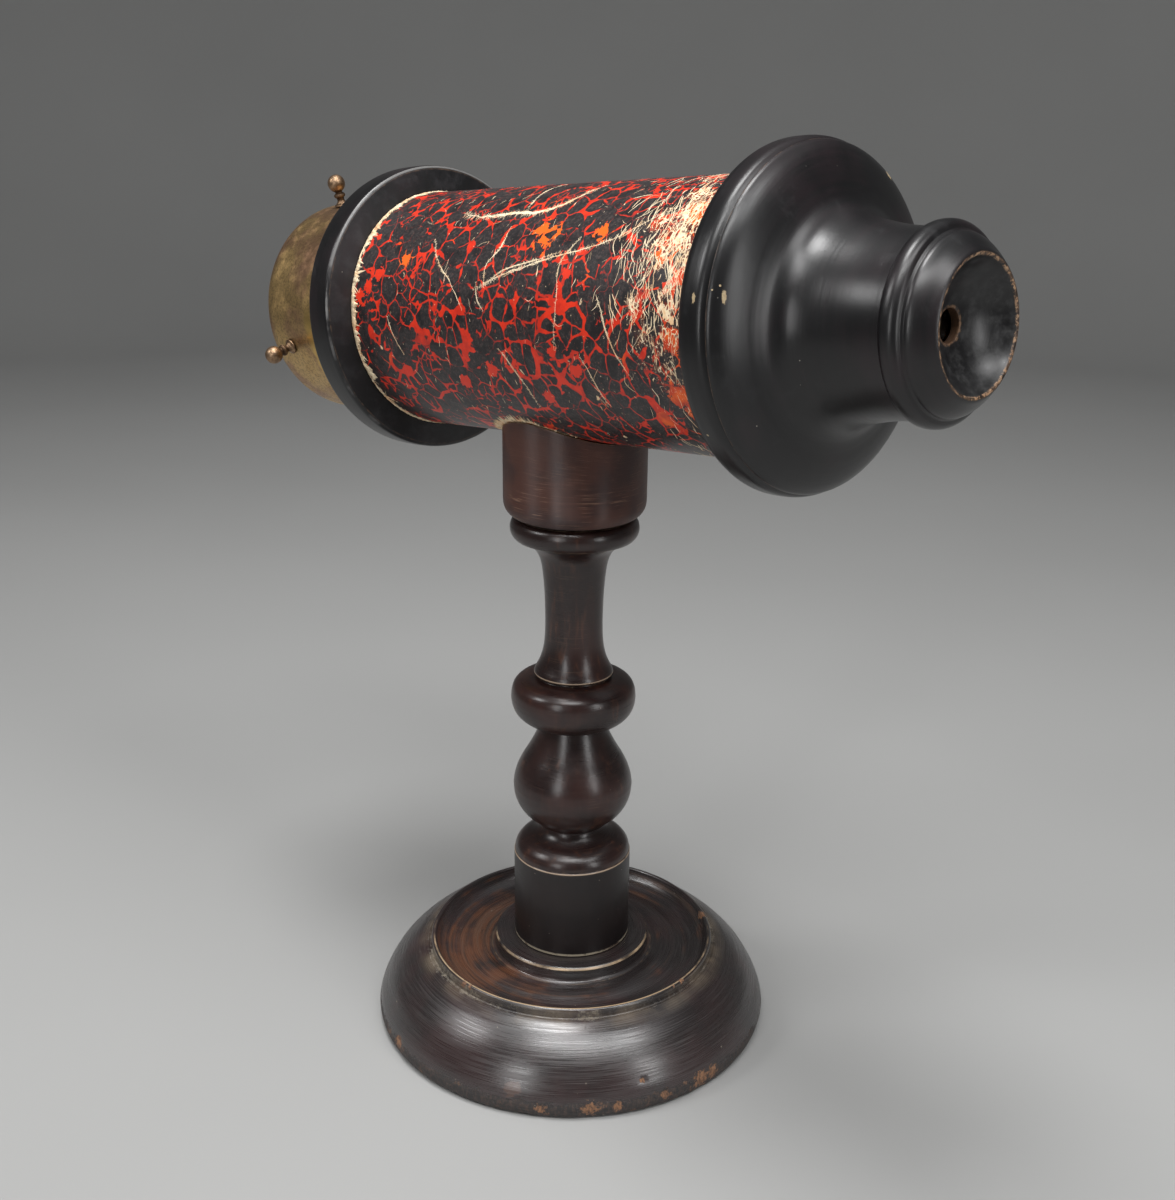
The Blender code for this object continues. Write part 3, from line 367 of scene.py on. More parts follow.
class KaleidoscopeColours(bpy.types.PropertyGroup):
    """Colours of the finishes, before wear and dirt."""

    ebony: colour("Ebonised wood", "Black stain of the eyepiece and the rear ring", (0.0042, 0.0040, 0.0046))
    ebony_brown: colour("Ebony undertone", "Purple brown that shows through the black", (0.014, 0.008, 0.010))
    oxblood: colour("Column stain", "Dark red-brown of the column", (0.014, 0.0065, 0.0060))
    cup_brown: colour("Cup stain", "Red-brown of the cup", (0.066, 0.022, 0.014))
    base_grey: colour("Base stain", "Worn grey-brown black of the base", (0.019, 0.015, 0.015))
    raw_wood: colour("Raw wood", "Wood where the stain is worn or chipped off", (0.300, 0.140, 0.062))
    residue: colour("Residue", "Pale wax and dust in the grooves", (0.360, 0.310, 0.230))
    vermilion: colour("Marbling red", "Veins of the marbled paper", (0.720, 0.036, 0.012))
    orange: colour("Marbling orange", "Veins where the paper has faded", (0.860, 0.130, 0.014))
    charcoal: colour("Marbling black", "Cells of the marbled paper", (0.021, 0.019, 0.020))
    fibre: colour("Paper fibre", "Bare paper at scratches and torn edges", (0.840, 0.700, 0.480))
    brass: colour("Aged brass", "Olive gold of the drum", (0.620, 0.425, 0.190))
    brass_pink: colour("Brass patina", "Pinkish brown patches on the drum", (0.420, 0.250, 0.150))
    brass_bright: colour("Polished brass", "Rubbed strip beside the ring", (0.720, 0.490, 0.150))
    copper: colour("Knob brass", "Coppery brass of the knobs", (0.330, 0.215, 0.130))


class Signal:
    """A shader socket that can stand in a sum."""

    def __init__(self, tree, socket):
        self.tree = tree
        self.socket = socket

    def __add__(self, other):
        return worked("ADD", self, other)

    def __radd__(self, other):
        return worked("ADD", other, self)

    def __sub__(self, other):
        return worked("SUBTRACT", self, other)

    def __rsub__(self, other):
        return worked("SUBTRACT", other, self)

    def __mul__(self, other):
        return worked("MULTIPLY", self, other)

    def __rmul__(self, other):
        return worked("MULTIPLY", other, self)

    def __truediv__(self, other):
        return worked("DIVIDE", self, other)


def feed(tree, socket, value):
    """Link a value to a socket, or set it there."""
    if isinstance(value, Signal):
        tree.links.new(value.socket, socket)
    elif socket.type == "VECTOR" and isinstance(value, (int, float)):
        socket.default_value = (value, value, value)
    elif socket.type == "RGBA":
        socket.default_value = (*tuple(value)[:3], 1)
    else:
        socket.default_value = value


def worked(operation, *values):
    """Add the node that works out a sum, on vectors if one of the values is a vector."""
    signals = [value for value in values if isinstance(value, Signal)]
    tree = signals[0].tree
    vector = any(signal.socket.type == "VECTOR" for signal in signals)
    node = tree.nodes.new("ShaderNodeVectorMath" if vector else "ShaderNodeMath")
    node.operation = operation
    for socket, value in zip(node.inputs, values):
        feed(tree, socket, value)
    return Signal(tree, node.outputs[0])


def most(first, second):
    """The larger of two values."""
    return worked("MAXIMUM", first, second)


class Finish:
    """A material, and the nodes that vary it over a surface."""

    def __init__(self, name):
        self.material = bpy.data.materials.new(name)
        self.material.use_nodes = True
        self.tree = self.material.node_tree
        self.shader = self.tree.nodes["Principled BSDF"]
        self.place = self.node("ShaderNodeTexCoord", output="Object") * (1 / MM)

    def node(self, kind, options=None, values=None, output=0):
        """Add a node: its options first, then what its sockets take."""
        node = self.tree.nodes.new(kind)
        for key, value in (options or {}).items():
            setattr(node, key, value)
        for key, value in (values or {}).items():
            feed(self.tree, node.inputs[key], value)
        return Signal(self.tree, node.outputs[output])

    def set(self, **values):
        """Set or link sockets of the shader, named with underscores for spaces."""
        for key, value in values.items():
            feed(self.tree, self.shader.inputs[key.replace("_", " ").title().replace("Ior", "IOR")], value)

    def noise(self, size, where=None, detail=2.0, roughness=0.5, seed=0.0):
        """Noise whose features are a size in millimetres across, about 0 to 1."""
        where = self.place if where is None else where
        values = {"Vector": where + seed * 37.7, "Scale": 1 / size, "Detail": detail, "Roughness": roughness}
        return self.node("ShaderNodeTexNoise", values=values)

    def noise_vector(self, size, amount, seed=0.0):
        """A wandering offset, up to about an amount in millimetres."""
        values = {"Vector": self.place + seed * 21.3, "Scale": 1 / size, "Detail": 2.0}
        tint = self.node("ShaderNodeTexNoise", values=values, output="Color")
        return self.node("ShaderNodeVectorMath", {"operation": "SUBTRACT"}, {0: tint, 1: 0.5}) * (2 * amount)

    def cells(self, size, where, feature="DISTANCE_TO_EDGE"):
        """Distance from the edge or from the point of a cell, in millimetres."""
        values = {"Vector": where, "Scale": 1 / size, "Randomness": 1.0}
        return self.node("ShaderNodeTexVoronoi", {"feature": feature}, values) * size

    def step(self, value, low, high):
        """A smooth step from 0 at low to 1 at high."""
        return self.node(
            "ShaderNodeMapRange", {"interpolation_type": "SMOOTHSTEP"},
            {"Value": value, "From Min": low, "From Max": high},
        )

    def band(self, value, low, high, fade):
        """1 between two values, fading out over a width on both sides."""
        return self.step(value, low - fade, low) * self.step(value, high + fade, high)

    def mix(self, factor, first, second):
        """Mix two colours, which the node takes at its sockets 6 and 7 and gives out at 2."""
        options = {"data_type": "RGBA", "clamp_factor": True}
        return self.node("ShaderNodeMix", options, {0: factor, 6: first, 7: second}, output=2)

    def mark(self, name):
        """A value that the mesh carries at each point."""
        return self.node("ShaderNodeAttribute", {"attribute_name": name}, output="Fac")

    def axis(self, name):
        """One coordinate of the place, in millimetres."""
        return self.node("ShaderNodeSeparateXYZ", values={"Vector": self.place}, output=name)

    def vector(self, x, y, z):
        """A vector from three values."""
        return self.node("ShaderNodeCombineXYZ", values={"X": x, "Y": y, "Z": z})

    def radius(self):
        """Distance from the turning axis, in millimetres."""
        flat = self.place * (1, 1, 0)
        return self.node("ShaderNodeVectorMath", {"operation": "LENGTH"}, {0: flat}, output="Value")

    def turning(self, length, width, detail=2.0, seed=0.0):
        """Streaks that run round a turned piece, of a length and a width in millimetres."""
        where = self.vector(self.axis("X") / length, self.axis("Y") / length, self.mark("run") / width + seed)
        return self.node("ShaderNodeTexNoise", values={"Vector": where, "Scale": 1.0, "Detail": detail})

    def seam_way(self):
        """How far a point of the barrel is from the stand's axis, in millimetres."""
        flat = self.vector(
            self.axis("X") * DOWN.x + self.axis("Z") * AXIS_WAY.x + AXIS_POINT.x / MM,
            self.axis("Y") + AXIS_POINT.y / MM, 0.0,
        )
        return self.node("ShaderNodeVectorMath", {"operation": "LENGTH"}, {0: flat}, output="Value")

    def seam_side(self):
        """1 on the side of the cup where the paper is most frayed."""
        return self.step(self.axis("Y") * 0.9 + self.axis("Z") * 0.35, -6.0, -13.0)

    def patch(self, centre, size, ragged, grain, stretch=(1.0, 1.0, 1.0)):
        """1 in a ragged patch round a point, both in millimetres. A stretch under 1 draws it out that way."""
        offset = (self.place - tuple(centre)) * stretch
        away = self.node("ShaderNodeVectorMath", {"operation": "LENGTH"}, {0: offset}, output="Value")
        rough = (self.noise(grain, detail=4.0, roughness=0.7) - 0.5) * (4 * ragged * size)
        return self.step(away + rough, size, size * 0.8)

    def specks(self, size, share, spread, seed=0.0):
        """Small dots: their size and the mean way between them in millimetres, and the share that shows."""
        where = self.place + seed * 13.1
        dots = self.step(self.cells(spread, where, "F1"), size, size * 0.5)
        values = {"Vector": where, "Scale": 1 / spread, "Randomness": 1.0}
        chance = self.node("ShaderNodeTexVoronoi", {"feature": "F1"}, values, output="Color")
        pick = self.node("ShaderNodeSeparateColor", values={"Color": chance})
        return dots * self.step(pick, share, share * 0.9)

    def bump(self, height):
        """Raise the surface by a height in millimetres."""
        values = {"Height": height, "Distance": MM, "Strength": 1.0}
        self.set(normal=self.node("ShaderNodeBump", values=values))


def smooth_curve(points):
    """Points close together on a smooth curve through some points."""
    spots = [Vector(point) for point in points]
    spots = [2 * spots[0] - spots[1]] + spots + [2 * spots[-1] - spots[-2]]
    curve = []
    for before, start, end, after in zip(spots, spots[1:], spots[2:], spots[3:]):
        chord = (end - start).length
        into = (end - before) * (chord / ((start - before).length + chord))
        out = (after - start) * (chord / ((after - end).length + chord))
        count = max(1, math.ceil(chord / CURVE_STEP))
        for i in range(count):
            t = i / count
            curve.append(
                start * (2 * t ** 3 - 3 * t ** 2 + 1) + into * (t ** 3 - 2 * t ** 2 + t)
                + end * (3 * t ** 2 - 2 * t ** 3) + out * (t ** 3 - t ** 2)
            )
    return curve + [spots[-2]]


def straight(start, end):
    """Points along a straight stretch."""
    start, end = Vector(start), Vector(end)
    count = max(1, math.ceil((end - start).length / FLAT_STEP))
    return [start.lerp(end, i / count) for i in range(count + 1)]


def eased(outline, corners, closed):
    """Round the corners of an outline, and list how far each point is from an outer and an inner edge."""
    count = len(outline)
    area = sum(a.cross(b) for a, b in zip(outline, outline[1:] + outline[:1]))
    points = []
    edges = []
    for i, point in enumerate(outline):
        inner = closed or 0 < i < count - 1
        before = point - outline[i - 1]
        after = outline[(i + 1) % count] - point
        bend = before.angle_signed(after) if inner and before.length * after.length > 0 else 0
        if i not in corners or abs(bend) < CORNER_ANGLE:
            points.append(point)
            continue
        reach = min(EDGE_EASE * math.tan(abs(bend) / 2), 0.45 * before.length, 0.45 * after.length)
        first = point - before.normalized() * reach
        last = point + after.normalized() * reach
        turn = before.cross(after) * area
        for k in range(EASE_POINTS + 1):
            t = k / EASE_POINTS
            points.append(first * (1 - t) ** 2 + point * (2 * t * (1 - t)) + last * t ** 2)
            edges.append((len(points) - 1, turn > 0))
    return points, edges


def outline_of(stretches):
    """Points, distance run, outer and inner edge values of an outline, and whether it closes on itself."""
    outline = []
    corners = set()
    for stretch in stretches:
        points = smooth_curve(stretch) if len(stretch) > 2 else straight(*stretch)
        if outline and (points[0] - outline[-1]).length < SAME_POINT:
            points = points[1:]
            corners.add(len(outline) - 1)
        outline += points
    closed = min(point.x for point in outline) > 0
    if closed and (outline[0] - outline[-1]).length < SAME_POINT:
        outline.pop()
        corners.add(0)
    points, edges = eased(outline, corners, closed)
    run = [0.0]
    for before, after in zip(points, points[1:]):
        run.append(run[-1] + (after - before).length)
    values = {True: [0.0] * len(points), False: [0.0] * len(points)}
    for spot, outer in edges:
        fade = EDGE_FADE if outer else GROOVE_FADE
        for i, here in enumerate(run):
            near = math.exp(-abs(here - run[spot]) / fade)
            values[outer][i] = max(values[outer][i], near)
    return points, run, values[True], values[False], closed


def piece_of(name, work, smooth=True):
    """The object of a finished mesh, in the scene."""
    bmesh.ops.recalc_face_normals(work, faces=work.faces)
    mesh = bpy.data.meshes.new(name)
    work.to_mesh(mesh)
    work.free()
    if smooth:
        mesh.shade_smooth()
    piece = bpy.data.objects.new(name, mesh)
    bpy.context.scene.collection.objects.link(piece)
    return piece


def turned(name, stretches, steps, shape=None):
    """Turn an outline round Z into a smooth mesh. A shape can move each point, in millimetres."""
    points, run, edge, groove, closed = outline_of(stretches)
    work = bmesh.new()
    layers = {key: work.verts.layers.float.new(key) for key in ("run", "edge", "groove")}
    rings = []
    for i, point in enumerate(points):
        ring = []
        for k in range(steps if point.x > 0 else 1):
            angle = 2 * math.pi * k / steps
            spot = Vector((point.x * math.cos(angle), point.x * math.sin(angle), point.y))
            vertex = work.verts.new((shape(spot, point) if shape else spot) * MM)
            vertex[layers["run"]] = run[i]
            vertex[layers["edge"]] = edge[i]
            vertex[layers["groove"]] = groove[i]
            ring.append(vertex)
        rings.append(ring)
    pairs = list(zip(rings, rings[1:]))
    if closed:
        pairs.append((rings[-1], rings[0]))
    for low, high in pairs:
        if len(low) == 1 and len(high) == 1:
            continue
        for k in range(steps):
            n = (k + 1) % steps
            corners = [low[k % len(low)], low[n % len(low)], high[n % len(high)], high[k % len(high)]]
            work.faces.new(dict.fromkeys(corners))
    return piece_of(name, work)


def fit(piece, body, finish, nodes=(), matrix=None):
    """Put a piece in place on its body, with its finish, and hide the frame's nodes that it stands for."""
    if matrix:
        piece.matrix_world = matrix
    piece.data.materials.append(finish.material)
    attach(piece, body)
    if nodes:
        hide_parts(*nodes)


def settings():
    """The sizes and colours that the user has set."""
    scene = bpy.context.scene
    return scene.kaleidoscope_sizes, scene.kaleidoscope_colours


def worn_edge(finish, low, high):
    """Where an outer edge is rubbed: its mark, broken up by noise."""
    return finish.step(finish.mark("edge") * finish.noise(2.4, detail=4.0, roughness=0.65), low, high)


def ebony_finish(name, seed):
    """Ebonised wood of the eyepiece and the ring: black, with turning lines, dust specks and rubbed edges."""
    colours = settings()[1]
    wood = Finish(name)
    slow = wood.noise(26, detail=3.0, seed=seed)
    fine = wood.turning(18, 0.22, detail=3.0, seed=seed)
    coarse = wood.turning(40, 1.4, detail=3.0, seed=seed + 5)
    tone = wood.mix(wood.step(slow + coarse * 0.3, 0.60, 0.90) * 0.7, colours.ebony, colours.ebony_brown)
    rubbed = worn_edge(wood, 0.36, 0.60)
    tone = wood.mix(rubbed * 0.55, tone, (0.11, 0.062, 0.036))
    dust = wood.specks(0.20, 0.10, 3.2, seed)
    tone = wood.mix(dust * 0.75, tone, (0.42, 0.39, 0.34))
    haze = wood.step(wood.noise(9, detail=5.0, roughness=0.7, seed=seed + 1), 0.55, 0.80)
    tone = wood.mix(haze * 0.08, tone, (0.10, 0.10, 0.105))
    rough = 0.23 + slow * 0.10 + fine * 0.10 + haze * 0.10 + rubbed * 0.10
    wood.set(base_color=tone, roughness=rough, specular_ior_level=0.50, coat_weight=0.03, coat_roughness=0.20)
    pits = wood.specks(0.28, 0.16, 2.6, seed + 3)
    rings = wood.noise(1.0, wood.vector(0.0, 0.0, wood.mark("run") * 1.1 + seed), detail=3.0)
    soft = wood.noise(9, detail=2.0, seed=seed) * 0.05
    wood.bump(fine * 0.008 + coarse * 0.014 + rings * 0.022 + soft - pits * 0.02 + dust * 0.015)
    return wood, tone, rough


def bell_finish():
    """Ebony of the eyepiece, with its worn mouth, bare wood in the bore, darkened in part as painted shade, and
    pale knocks on the flange.
    """
    colours = settings()[1]
    wood, tone, rough = ebony_finish("bell_ebony", 0)
    along = wood.axis("Z")
    radius = wood.radius()
    mouth = wood.step(along, 140.2, 140.7) * wood.band(radius, 16.5, 17.15, 0.2)
    rim = mouth * wood.step(wood.noise(1.4, detail=4.0, roughness=0.75), 0.46, 0.60)
    tone = wood.mix(rim * 0.85, tone, wood.mix(wood.noise(3.0), colours.raw_wood, (0.46, 0.32, 0.20)))
    # The bore's bare wood is darker than the raw wood outside: partly its own colour, partly painted shade of the
    # bore.
    bare = wood.step(along, 132.75, 132.5) * wood.step(radius, 17.6, 17.2)
    inside = wood.mix(wood.turning(8, 0.5), (0.040, 0.018, 0.009), (0.115, 0.056, 0.025))
    tone = wood.mix(bare, tone, inside)
    lip = wood.band(radius, 3.9, 4.9, 0.25) * wood.band(along, 132.2, 133.0, 0.2)
    tone = wood.mix(lip * wood.step(wood.noise(1.2), 0.42, 0.60) * 0.4, tone, (0.30, 0.17, 0.09))
    for angle, reach, place, size, stretch in BELL_KNOCKS:
        spot = wood.patch(round_spot(angle, reach, place), size, 0.55, 0.7, (stretch, 1.0, 1.0))
        tone = wood.mix(spot * 0.9, tone, wood.mix(wood.noise(0.7), (0.22, 0.14, 0.07), (0.62, 0.50, 0.30)))
    dish = wood.step(along, 132.4, 132.8) * wood.step(radius, 16.9, 16.3)
    film = dish * wood.step(wood.noise(3.4, detail=5.0, roughness=0.65), 0.40, 0.76)
    tone = wood.mix(film * 0.12, tone, (0.22, 0.22, 0.22))
    wood.set(base_color=tone, roughness=rough + bare * 0.35 + rim * 0.25 + film * 0.16)
    return wood


def ring_finish():
    """Ebony of the rear ring, more satin on its face, with a painted highlight along its front arris."""
    wood, tone, rough = ebony_finish("ring_ebony", 7)
    face = wood.step(wood.axis("Z"), -67.6, -67.0)
    mottled = wood.step(wood.noise(5, detail=4.0, roughness=0.65, seed=3), 0.42, 0.72) * face
    tone = wood.mix(mottled * 0.40, tone, (0.040, 0.038, 0.042))
    # Painted highlight: a pale grey line along the front arris, strongest on the upper side, standing in for a
    # glint there.
    arris_highlight = wood.band(wood.axis("Z"), -67.7, -67.3, 0.15) * wood.step(wood.radius(), 45.4, 45.7)
    arris_highlight = arris_highlight * wood.step(wood.noise(9, detail=3.0, seed=9) - wood.axis("X") / 200, 0.40, 0.62)
    tone = wood.mix(arris_highlight * 0.6, tone, (0.24, 0.235, 0.23))
    wood.set(base_color=tone, roughness=rough + face * 0.10)
    return wood


def base_finish():
    """The base's worn black, brush marks on the dome, red-brown rings in the dish, chips and old wax."""
    wood = Finish("base_stain")
    radius = wood.radius()
    height = wood.axis("Z")
    slow = wood.noise(22, detail=3.0)
    brush = wood.turning(16, 0.30, detail=4.0)
    broad = wood.turning(30, 1.2, detail=3.0, seed=4)
    tone = wood.mix(wood.step(slow, 0.40, 0.68), settings()[1].base_grey, (0.030, 0.017, 0.017))
    tone = wood.mix(wood.step(brush, 0.52, 0.78) * 0.5, tone, (0.064, 0.056, 0.053))
    tone = dish_rings(wood, tone, radius, height, broad)
    outside = wood.band(radius, 50.2, 56.0, 0.5) * wood.step(height, 20.0, 23.0)
    tone, wax = rim_wax(wood, tone, radius, outside)
    front = (wood.axis("X") * 0.73 + wood.axis("Y") * -0.68) / 50
    tone = base_edges(wood, tone, radius, height, outside, front)
    smear = wood.patch((34.7, -57.8, 9.3), 3.0, 0.6, 2.6)
    tone = wood.mix(smear * 0.5, tone, (0.100, 0.052, 0.036))
    grain = wood.noise(0.9, wood.place * (1.0, 1.0, 0.5), detail=5.0, roughness=0.7)
    tone, chips = base_chips(wood, tone, height, front, grain)
    scuffs = wood.specks(0.5, 0.10, 5.0, 6) * wood.step(wood.noise(0.8, detail=3.0), 0.40, 0.55)
    dust = most(wood.specks(0.22, 0.12, 3.0), scuffs)
    tone = wood.mix(dust * 0.7, tone, (0.40, 0.35, 0.28))
    rough = 0.20 + wood.step(brush, 0.35, 0.72) * 0.18 + slow * 0.06 + chips * 0.45 + wax * 0.3
    wood.set(base_color=tone, roughness=rough, specular_ior_level=1.0)
    wood.bump(brush * 0.030 + broad * 0.034 + wax * 0.08 - chips * 0.25 + grain * chips * 0.20)
    return wood


def dish_rings(wood, tone, radius, height, broad):
    """The base's colour with the dish's red-brown rings, warmest on its left, and its dark streaks."""
    dish = wood.band(radius, 28.0, 47.6, 0.8) * wood.step(height, 22.0, 23.5)
    circles = wood.turning(70, 2.2, detail=3.0, seed=9)
    leftward = (wood.axis("X") * -0.69 + wood.axis("Y") * -0.73) / 50
    warm = wood.step(wood.noise(15, detail=3.0, seed=5) + circles * 0.7 + leftward * 0.13, 0.82, 1.08)
    tone = wood.mix(dish * warm * 0.75, tone, (0.125, 0.048, 0.022))
    tone = wood.mix(dish * wood.step(circles, 0.56, 0.74) * 0.45, tone, (0.090, 0.062, 0.045))
    return wood.mix(dish * wood.step(broad, 0.48, 0.30) * 0.6, tone, (0.014, 0.011, 0.011))


def rim_wax(wood, tone, radius, outside):
    """The base's colour with the old wax and dust beside the rim, and where the wax lies."""
    near = wood.step(radius, 53.6, 50.4) * outside
    fluff = wood.noise(1.2, detail=5.0, roughness=0.8)
    spread = wood.step(wood.noise(11, detail=3.0, roughness=0.6, seed=2), 0.50, 0.64) * 0.6
    for centre, size in WAX_SMEARS:
        spread = most(spread, wood.patch(centre, size, 0.5, 3.0))
    wax = wood.step(near * 0.60 + (fluff - 0.5) * 2.2 + spread * 0.22, 0.62, 1.04)
    tone = wood.mix(wax * (0.18 + spread * 0.42), tone, settings()[1].residue)
    halo = wood.step(radius, 56.5, 50.6) * outside
    halo = halo * wood.step(wood.noise(10, detail=4.0, seed=16), 0.30, 0.76)
    return wood.mix(halo * 0.62, tone, (0.215, 0.168, 0.118)), wax


def base_edges(wood, tone, radius, height, outside, front):
    """The base's colour with dirt in its inner grooves, and the edges of rim and collar rubbed pale."""
    inner = wood.step(wood.mark("groove") * wood.noise(3.0, detail=4.0), 0.36, 0.60) * (1 - outside)
    tone = wood.mix(inner * 0.35, tone, (0.16, 0.11, 0.07))
    rim = wood.band(radius, 48.95, 49.35, 0.15) * wood.step(height, 28.3, 28.6)
    collar = wood.band(radius, 26.75, 27.15, 0.12) * wood.step(height, 28.4, 28.7)
    line = most(rim, collar) * wood.step(wood.noise(7, detail=3.0, roughness=0.6) + front * 0.45, 0.40, 0.90)
    return wood.mix(line * 0.95, tone, (0.50, 0.36, 0.22))


def base_chips(wood, tone, height, front, grain):
    """The base's colour with its crumbled lower strip and its chips down to raw wood, and where they are."""
    raw_wood = settings()[1].raw_wood
    low = wood.step(height, 9.4, 4.2)
    flake = wood.noise(2.6, wood.place * (1.0, 1.0, 1.5), detail=5.0, roughness=0.75, seed=8)
    region = wood.step(wood.noise(20, detail=2.0, seed=12) + front * 0.22, 0.42, 0.62)
    crumbled = wood.step(low * 0.70 + (flake - 0.5) * 1.5 + region * 0.22, 0.66, 0.74)
    marked = 0.0
    for centre, size in CHIPS:
        marked = most(wood.patch(centre, size, 0.9, 1.3), marked)
    dull = wood.mix(wood.step(grain, 0.42, 0.68), (0.008, 0.006, 0.006), (0.066, 0.038, 0.028))
    ember = wood.step(wood.noise(4, seed=3), 0.56, 0.68) * wood.step(grain, 0.42, 0.62)
    dull = wood.mix(ember * 0.5, dull, raw_wood)
    raw = wood.mix(wood.step(grain, 0.34, 0.62), (0.070, 0.030, 0.014), raw_wood)
    tone = wood.mix(crumbled * 0.9, tone, dull)
    return wood.mix(marked * 0.95, tone, raw), most(crumbled, marked)


def column_finish():
    """The column's oxblood stain, lighter where hands have rubbed it, with fine pale lines on its edges, and
    painted shade that darkens its post.
    """
    colours = settings()[1]
    wood = Finish("column_stain")
    slow = wood.noise(16, detail=3.0)
    grain = wood.noise(1.8, wood.place * (1.0, 1.0, 0.10), detail=4.0, roughness=0.6)
    fine = wood.turning(12, 0.28, detail=3.0)
    worn = wood.step(wood.noise(9, wood.place * (1.0, 1.0, 0.4), detail=3.0, seed=14), 0.46, 0.64)
    tone = wood.mix(wood.step(slow, 0.42, 0.66), colours.oxblood, (0.030, 0.012, 0.010))
    height = wood.axis("Z")
    worn = worn * wood.step(height, 60.0, 66.0)
    tone = wood.mix(wood.step(grain, 0.50, 0.72) * (0.12 + worn * 0.50), tone, (0.088, 0.034, 0.018))
    tone = wood.mix(wood.step(fine, 0.58, 0.76) * (0.15 + worn * 0.5), tone, (0.120, 0.068, 0.044))
    bright = most(wood.band(height, 61.8, 62.3, 0.15), wood.band(height, 128.7, 129.2, 0.15))
    line = wood.step(wood.mark("edge") * (0.55 + wood.noise(5, detail=4.0) * 0.9), 0.62, 0.90) * bright
    rubbed = most(worn_edge(wood, 0.34, 0.56) * 0.45, line)
    tone = wood.mix(rubbed * 0.8, tone, (0.42, 0.31, 0.22))
    groove = wood.step(wood.mark("groove") * wood.noise(2.0, detail=3.0), 0.42, 0.62)
    tone = wood.mix(groove * 0.35, tone, (0.13, 0.085, 0.050))
    foot = wood.band(height, 29.4, 30.6, 0.4) * wood.step(wood.noise(2.6, detail=4.0), 0.34, 0.52)
    tone = wood.mix(foot * 0.85, tone, colours.residue)
    # Painted shade: the post is darkened to near-black, darker than the rest of the column's stain.
    painted_dark_post = wood.band(height, 31.0, 61.6, 0.4)
    tone = wood.mix(painted_dark_post * 0.85, tone, (0.0040, 0.0024, 0.0026))
    dust = wood.specks(0.20, 0.10, 2.8)
    tone = wood.mix(dust * 0.7, tone, (0.36, 0.30, 0.24))
    rough = 0.19 + fine * 0.14 + slow * 0.08 + rubbed * 0.10 + foot * 0.3 + painted_dark_post * 0.10
    wood.set(base_color=tone, roughness=rough, specular_ior_level=0.55, coat_weight=0.06, coat_roughness=0.12)
    wood.bump(fine * 0.020 + grain * 0.016 + wood.noise(3, detail=3.0) * 0.05)
    return wood


def cup_finish():
    """The cup's red-brown stain, with fine bright turning lines."""
    colours = settings()[1]
    wood = Finish("cup_stain")
    slow = wood.noise(14, detail=3.0, seed=2)
    fine = wood.turning(9, 0.22, detail=4.0, seed=3)
    tone = wood.mix(wood.step(slow, 0.40, 0.64), colours.cup_brown, (0.036, 0.013, 0.011))
    worn = wood.step(wood.noise(8, detail=3.0, seed=6), 0.45, 0.62)
    tone = wood.mix(wood.step(fine, 0.56, 0.70) * (0.16 + worn * 0.62), tone, (0.260, 0.150, 0.100))
    dark = wood.step(wood.turning(20, 0.6, detail=3.0, seed=8), 0.56, 0.74)
    tone = wood.mix(dark * 0.5, tone, (0.014, 0.007, 0.007))
    rubbed = worn_edge(wood, 0.30, 0.55)
    tone = wood.mix(rubbed * 0.5, tone, (0.26, 0.16, 0.09))
    rough = 0.34 + fine * 0.16 + slow * 0.08
    wood.set(base_color=tone, roughness=rough, specular_ior_level=0.65)
    wood.set(anisotropic=0.95, anisotropic_rotation=0.25)
    wood.bump(fine * 0.022 + dark * 0.010)
    return wood


def marbled_finish():
    """Shell marbling: black cells in a red net that swells into pools, faded to orange in places."""
    sizes, colours = settings()
    paper = Finish("marbled_paper")
    along = paper.axis("Z")
    river = paper.band(paper.noise(21, detail=1.0, seed=4), 0.488, 0.512, 0.028)
    heavy = paper.step(paper.noise(7, detail=2.0, seed=24), 0.54, 0.70)
    swell = most(river * 0.9, heavy * 0.8)
    calm = paper.step(paper.noise(11, detail=1.0, seed=9), 0.48, 0.60) * (1 - swell)
    slim = paper.noise(3.0, detail=2.0, seed=19)
    pools = spots_of(paper, BLOTS, 0.75, 2.4)
    width = 0.05 + slim * 0.17 + swell * (0.10 + slim * 0.30) - calm * 0.17 + pools * (0.7 + slim * 2.0)
    veins = paper.step(vein_net(paper, sizes.cell_size / MM, swell), width + 0.08, width - 0.08)
    bright = most(paper.step(width, 0.05, 0.18), pools)
    pale = paper.step(paper.noise(9, detail=2.0, seed=21), 0.66, 0.74)
    faded = most(spots_of(paper, FADED, 0.7, 3.0), pale * 0.5)
    heat = paper.step(along + paper.noise(7, seed=6) * 14, 76.0, 92.0)
    deep = paper.step(paper.noise(2.6, detail=3.0), 0.36, 0.66) * (1 - pools * 0.8)
    red = paper.mix(deep, colours.vermilion, (0.54, 0.024, 0.010))
    red = paper.mix(bright, (0.30, 0.026, 0.019), red)
    red = paper.mix(most(faded, heat * 0.8), red, colours.orange)
    mottle = paper.noise(0.9, detail=4.0, roughness=0.75)
    black = paper.mix(paper.step(mottle, 0.44, 0.68), colours.charcoal, (0.064, 0.050, 0.048))
    black = paper.mix(paper.step(paper.noise(5, seed=2), 0.50, 0.66) * 0.75, black, (0.010, 0.009, 0.010))
    tone = paper.mix(veins, black, red)
    flecks = paper.step(paper.noise(0.6, detail=2.0, seed=30), 0.66, 0.71) * paper.step(mottle, 0.42, 0.58)
    tone = paper.mix(flecks * 0.6, tone, (0.34, 0.13, 0.08))
    return worn_paper(paper, tone, along)


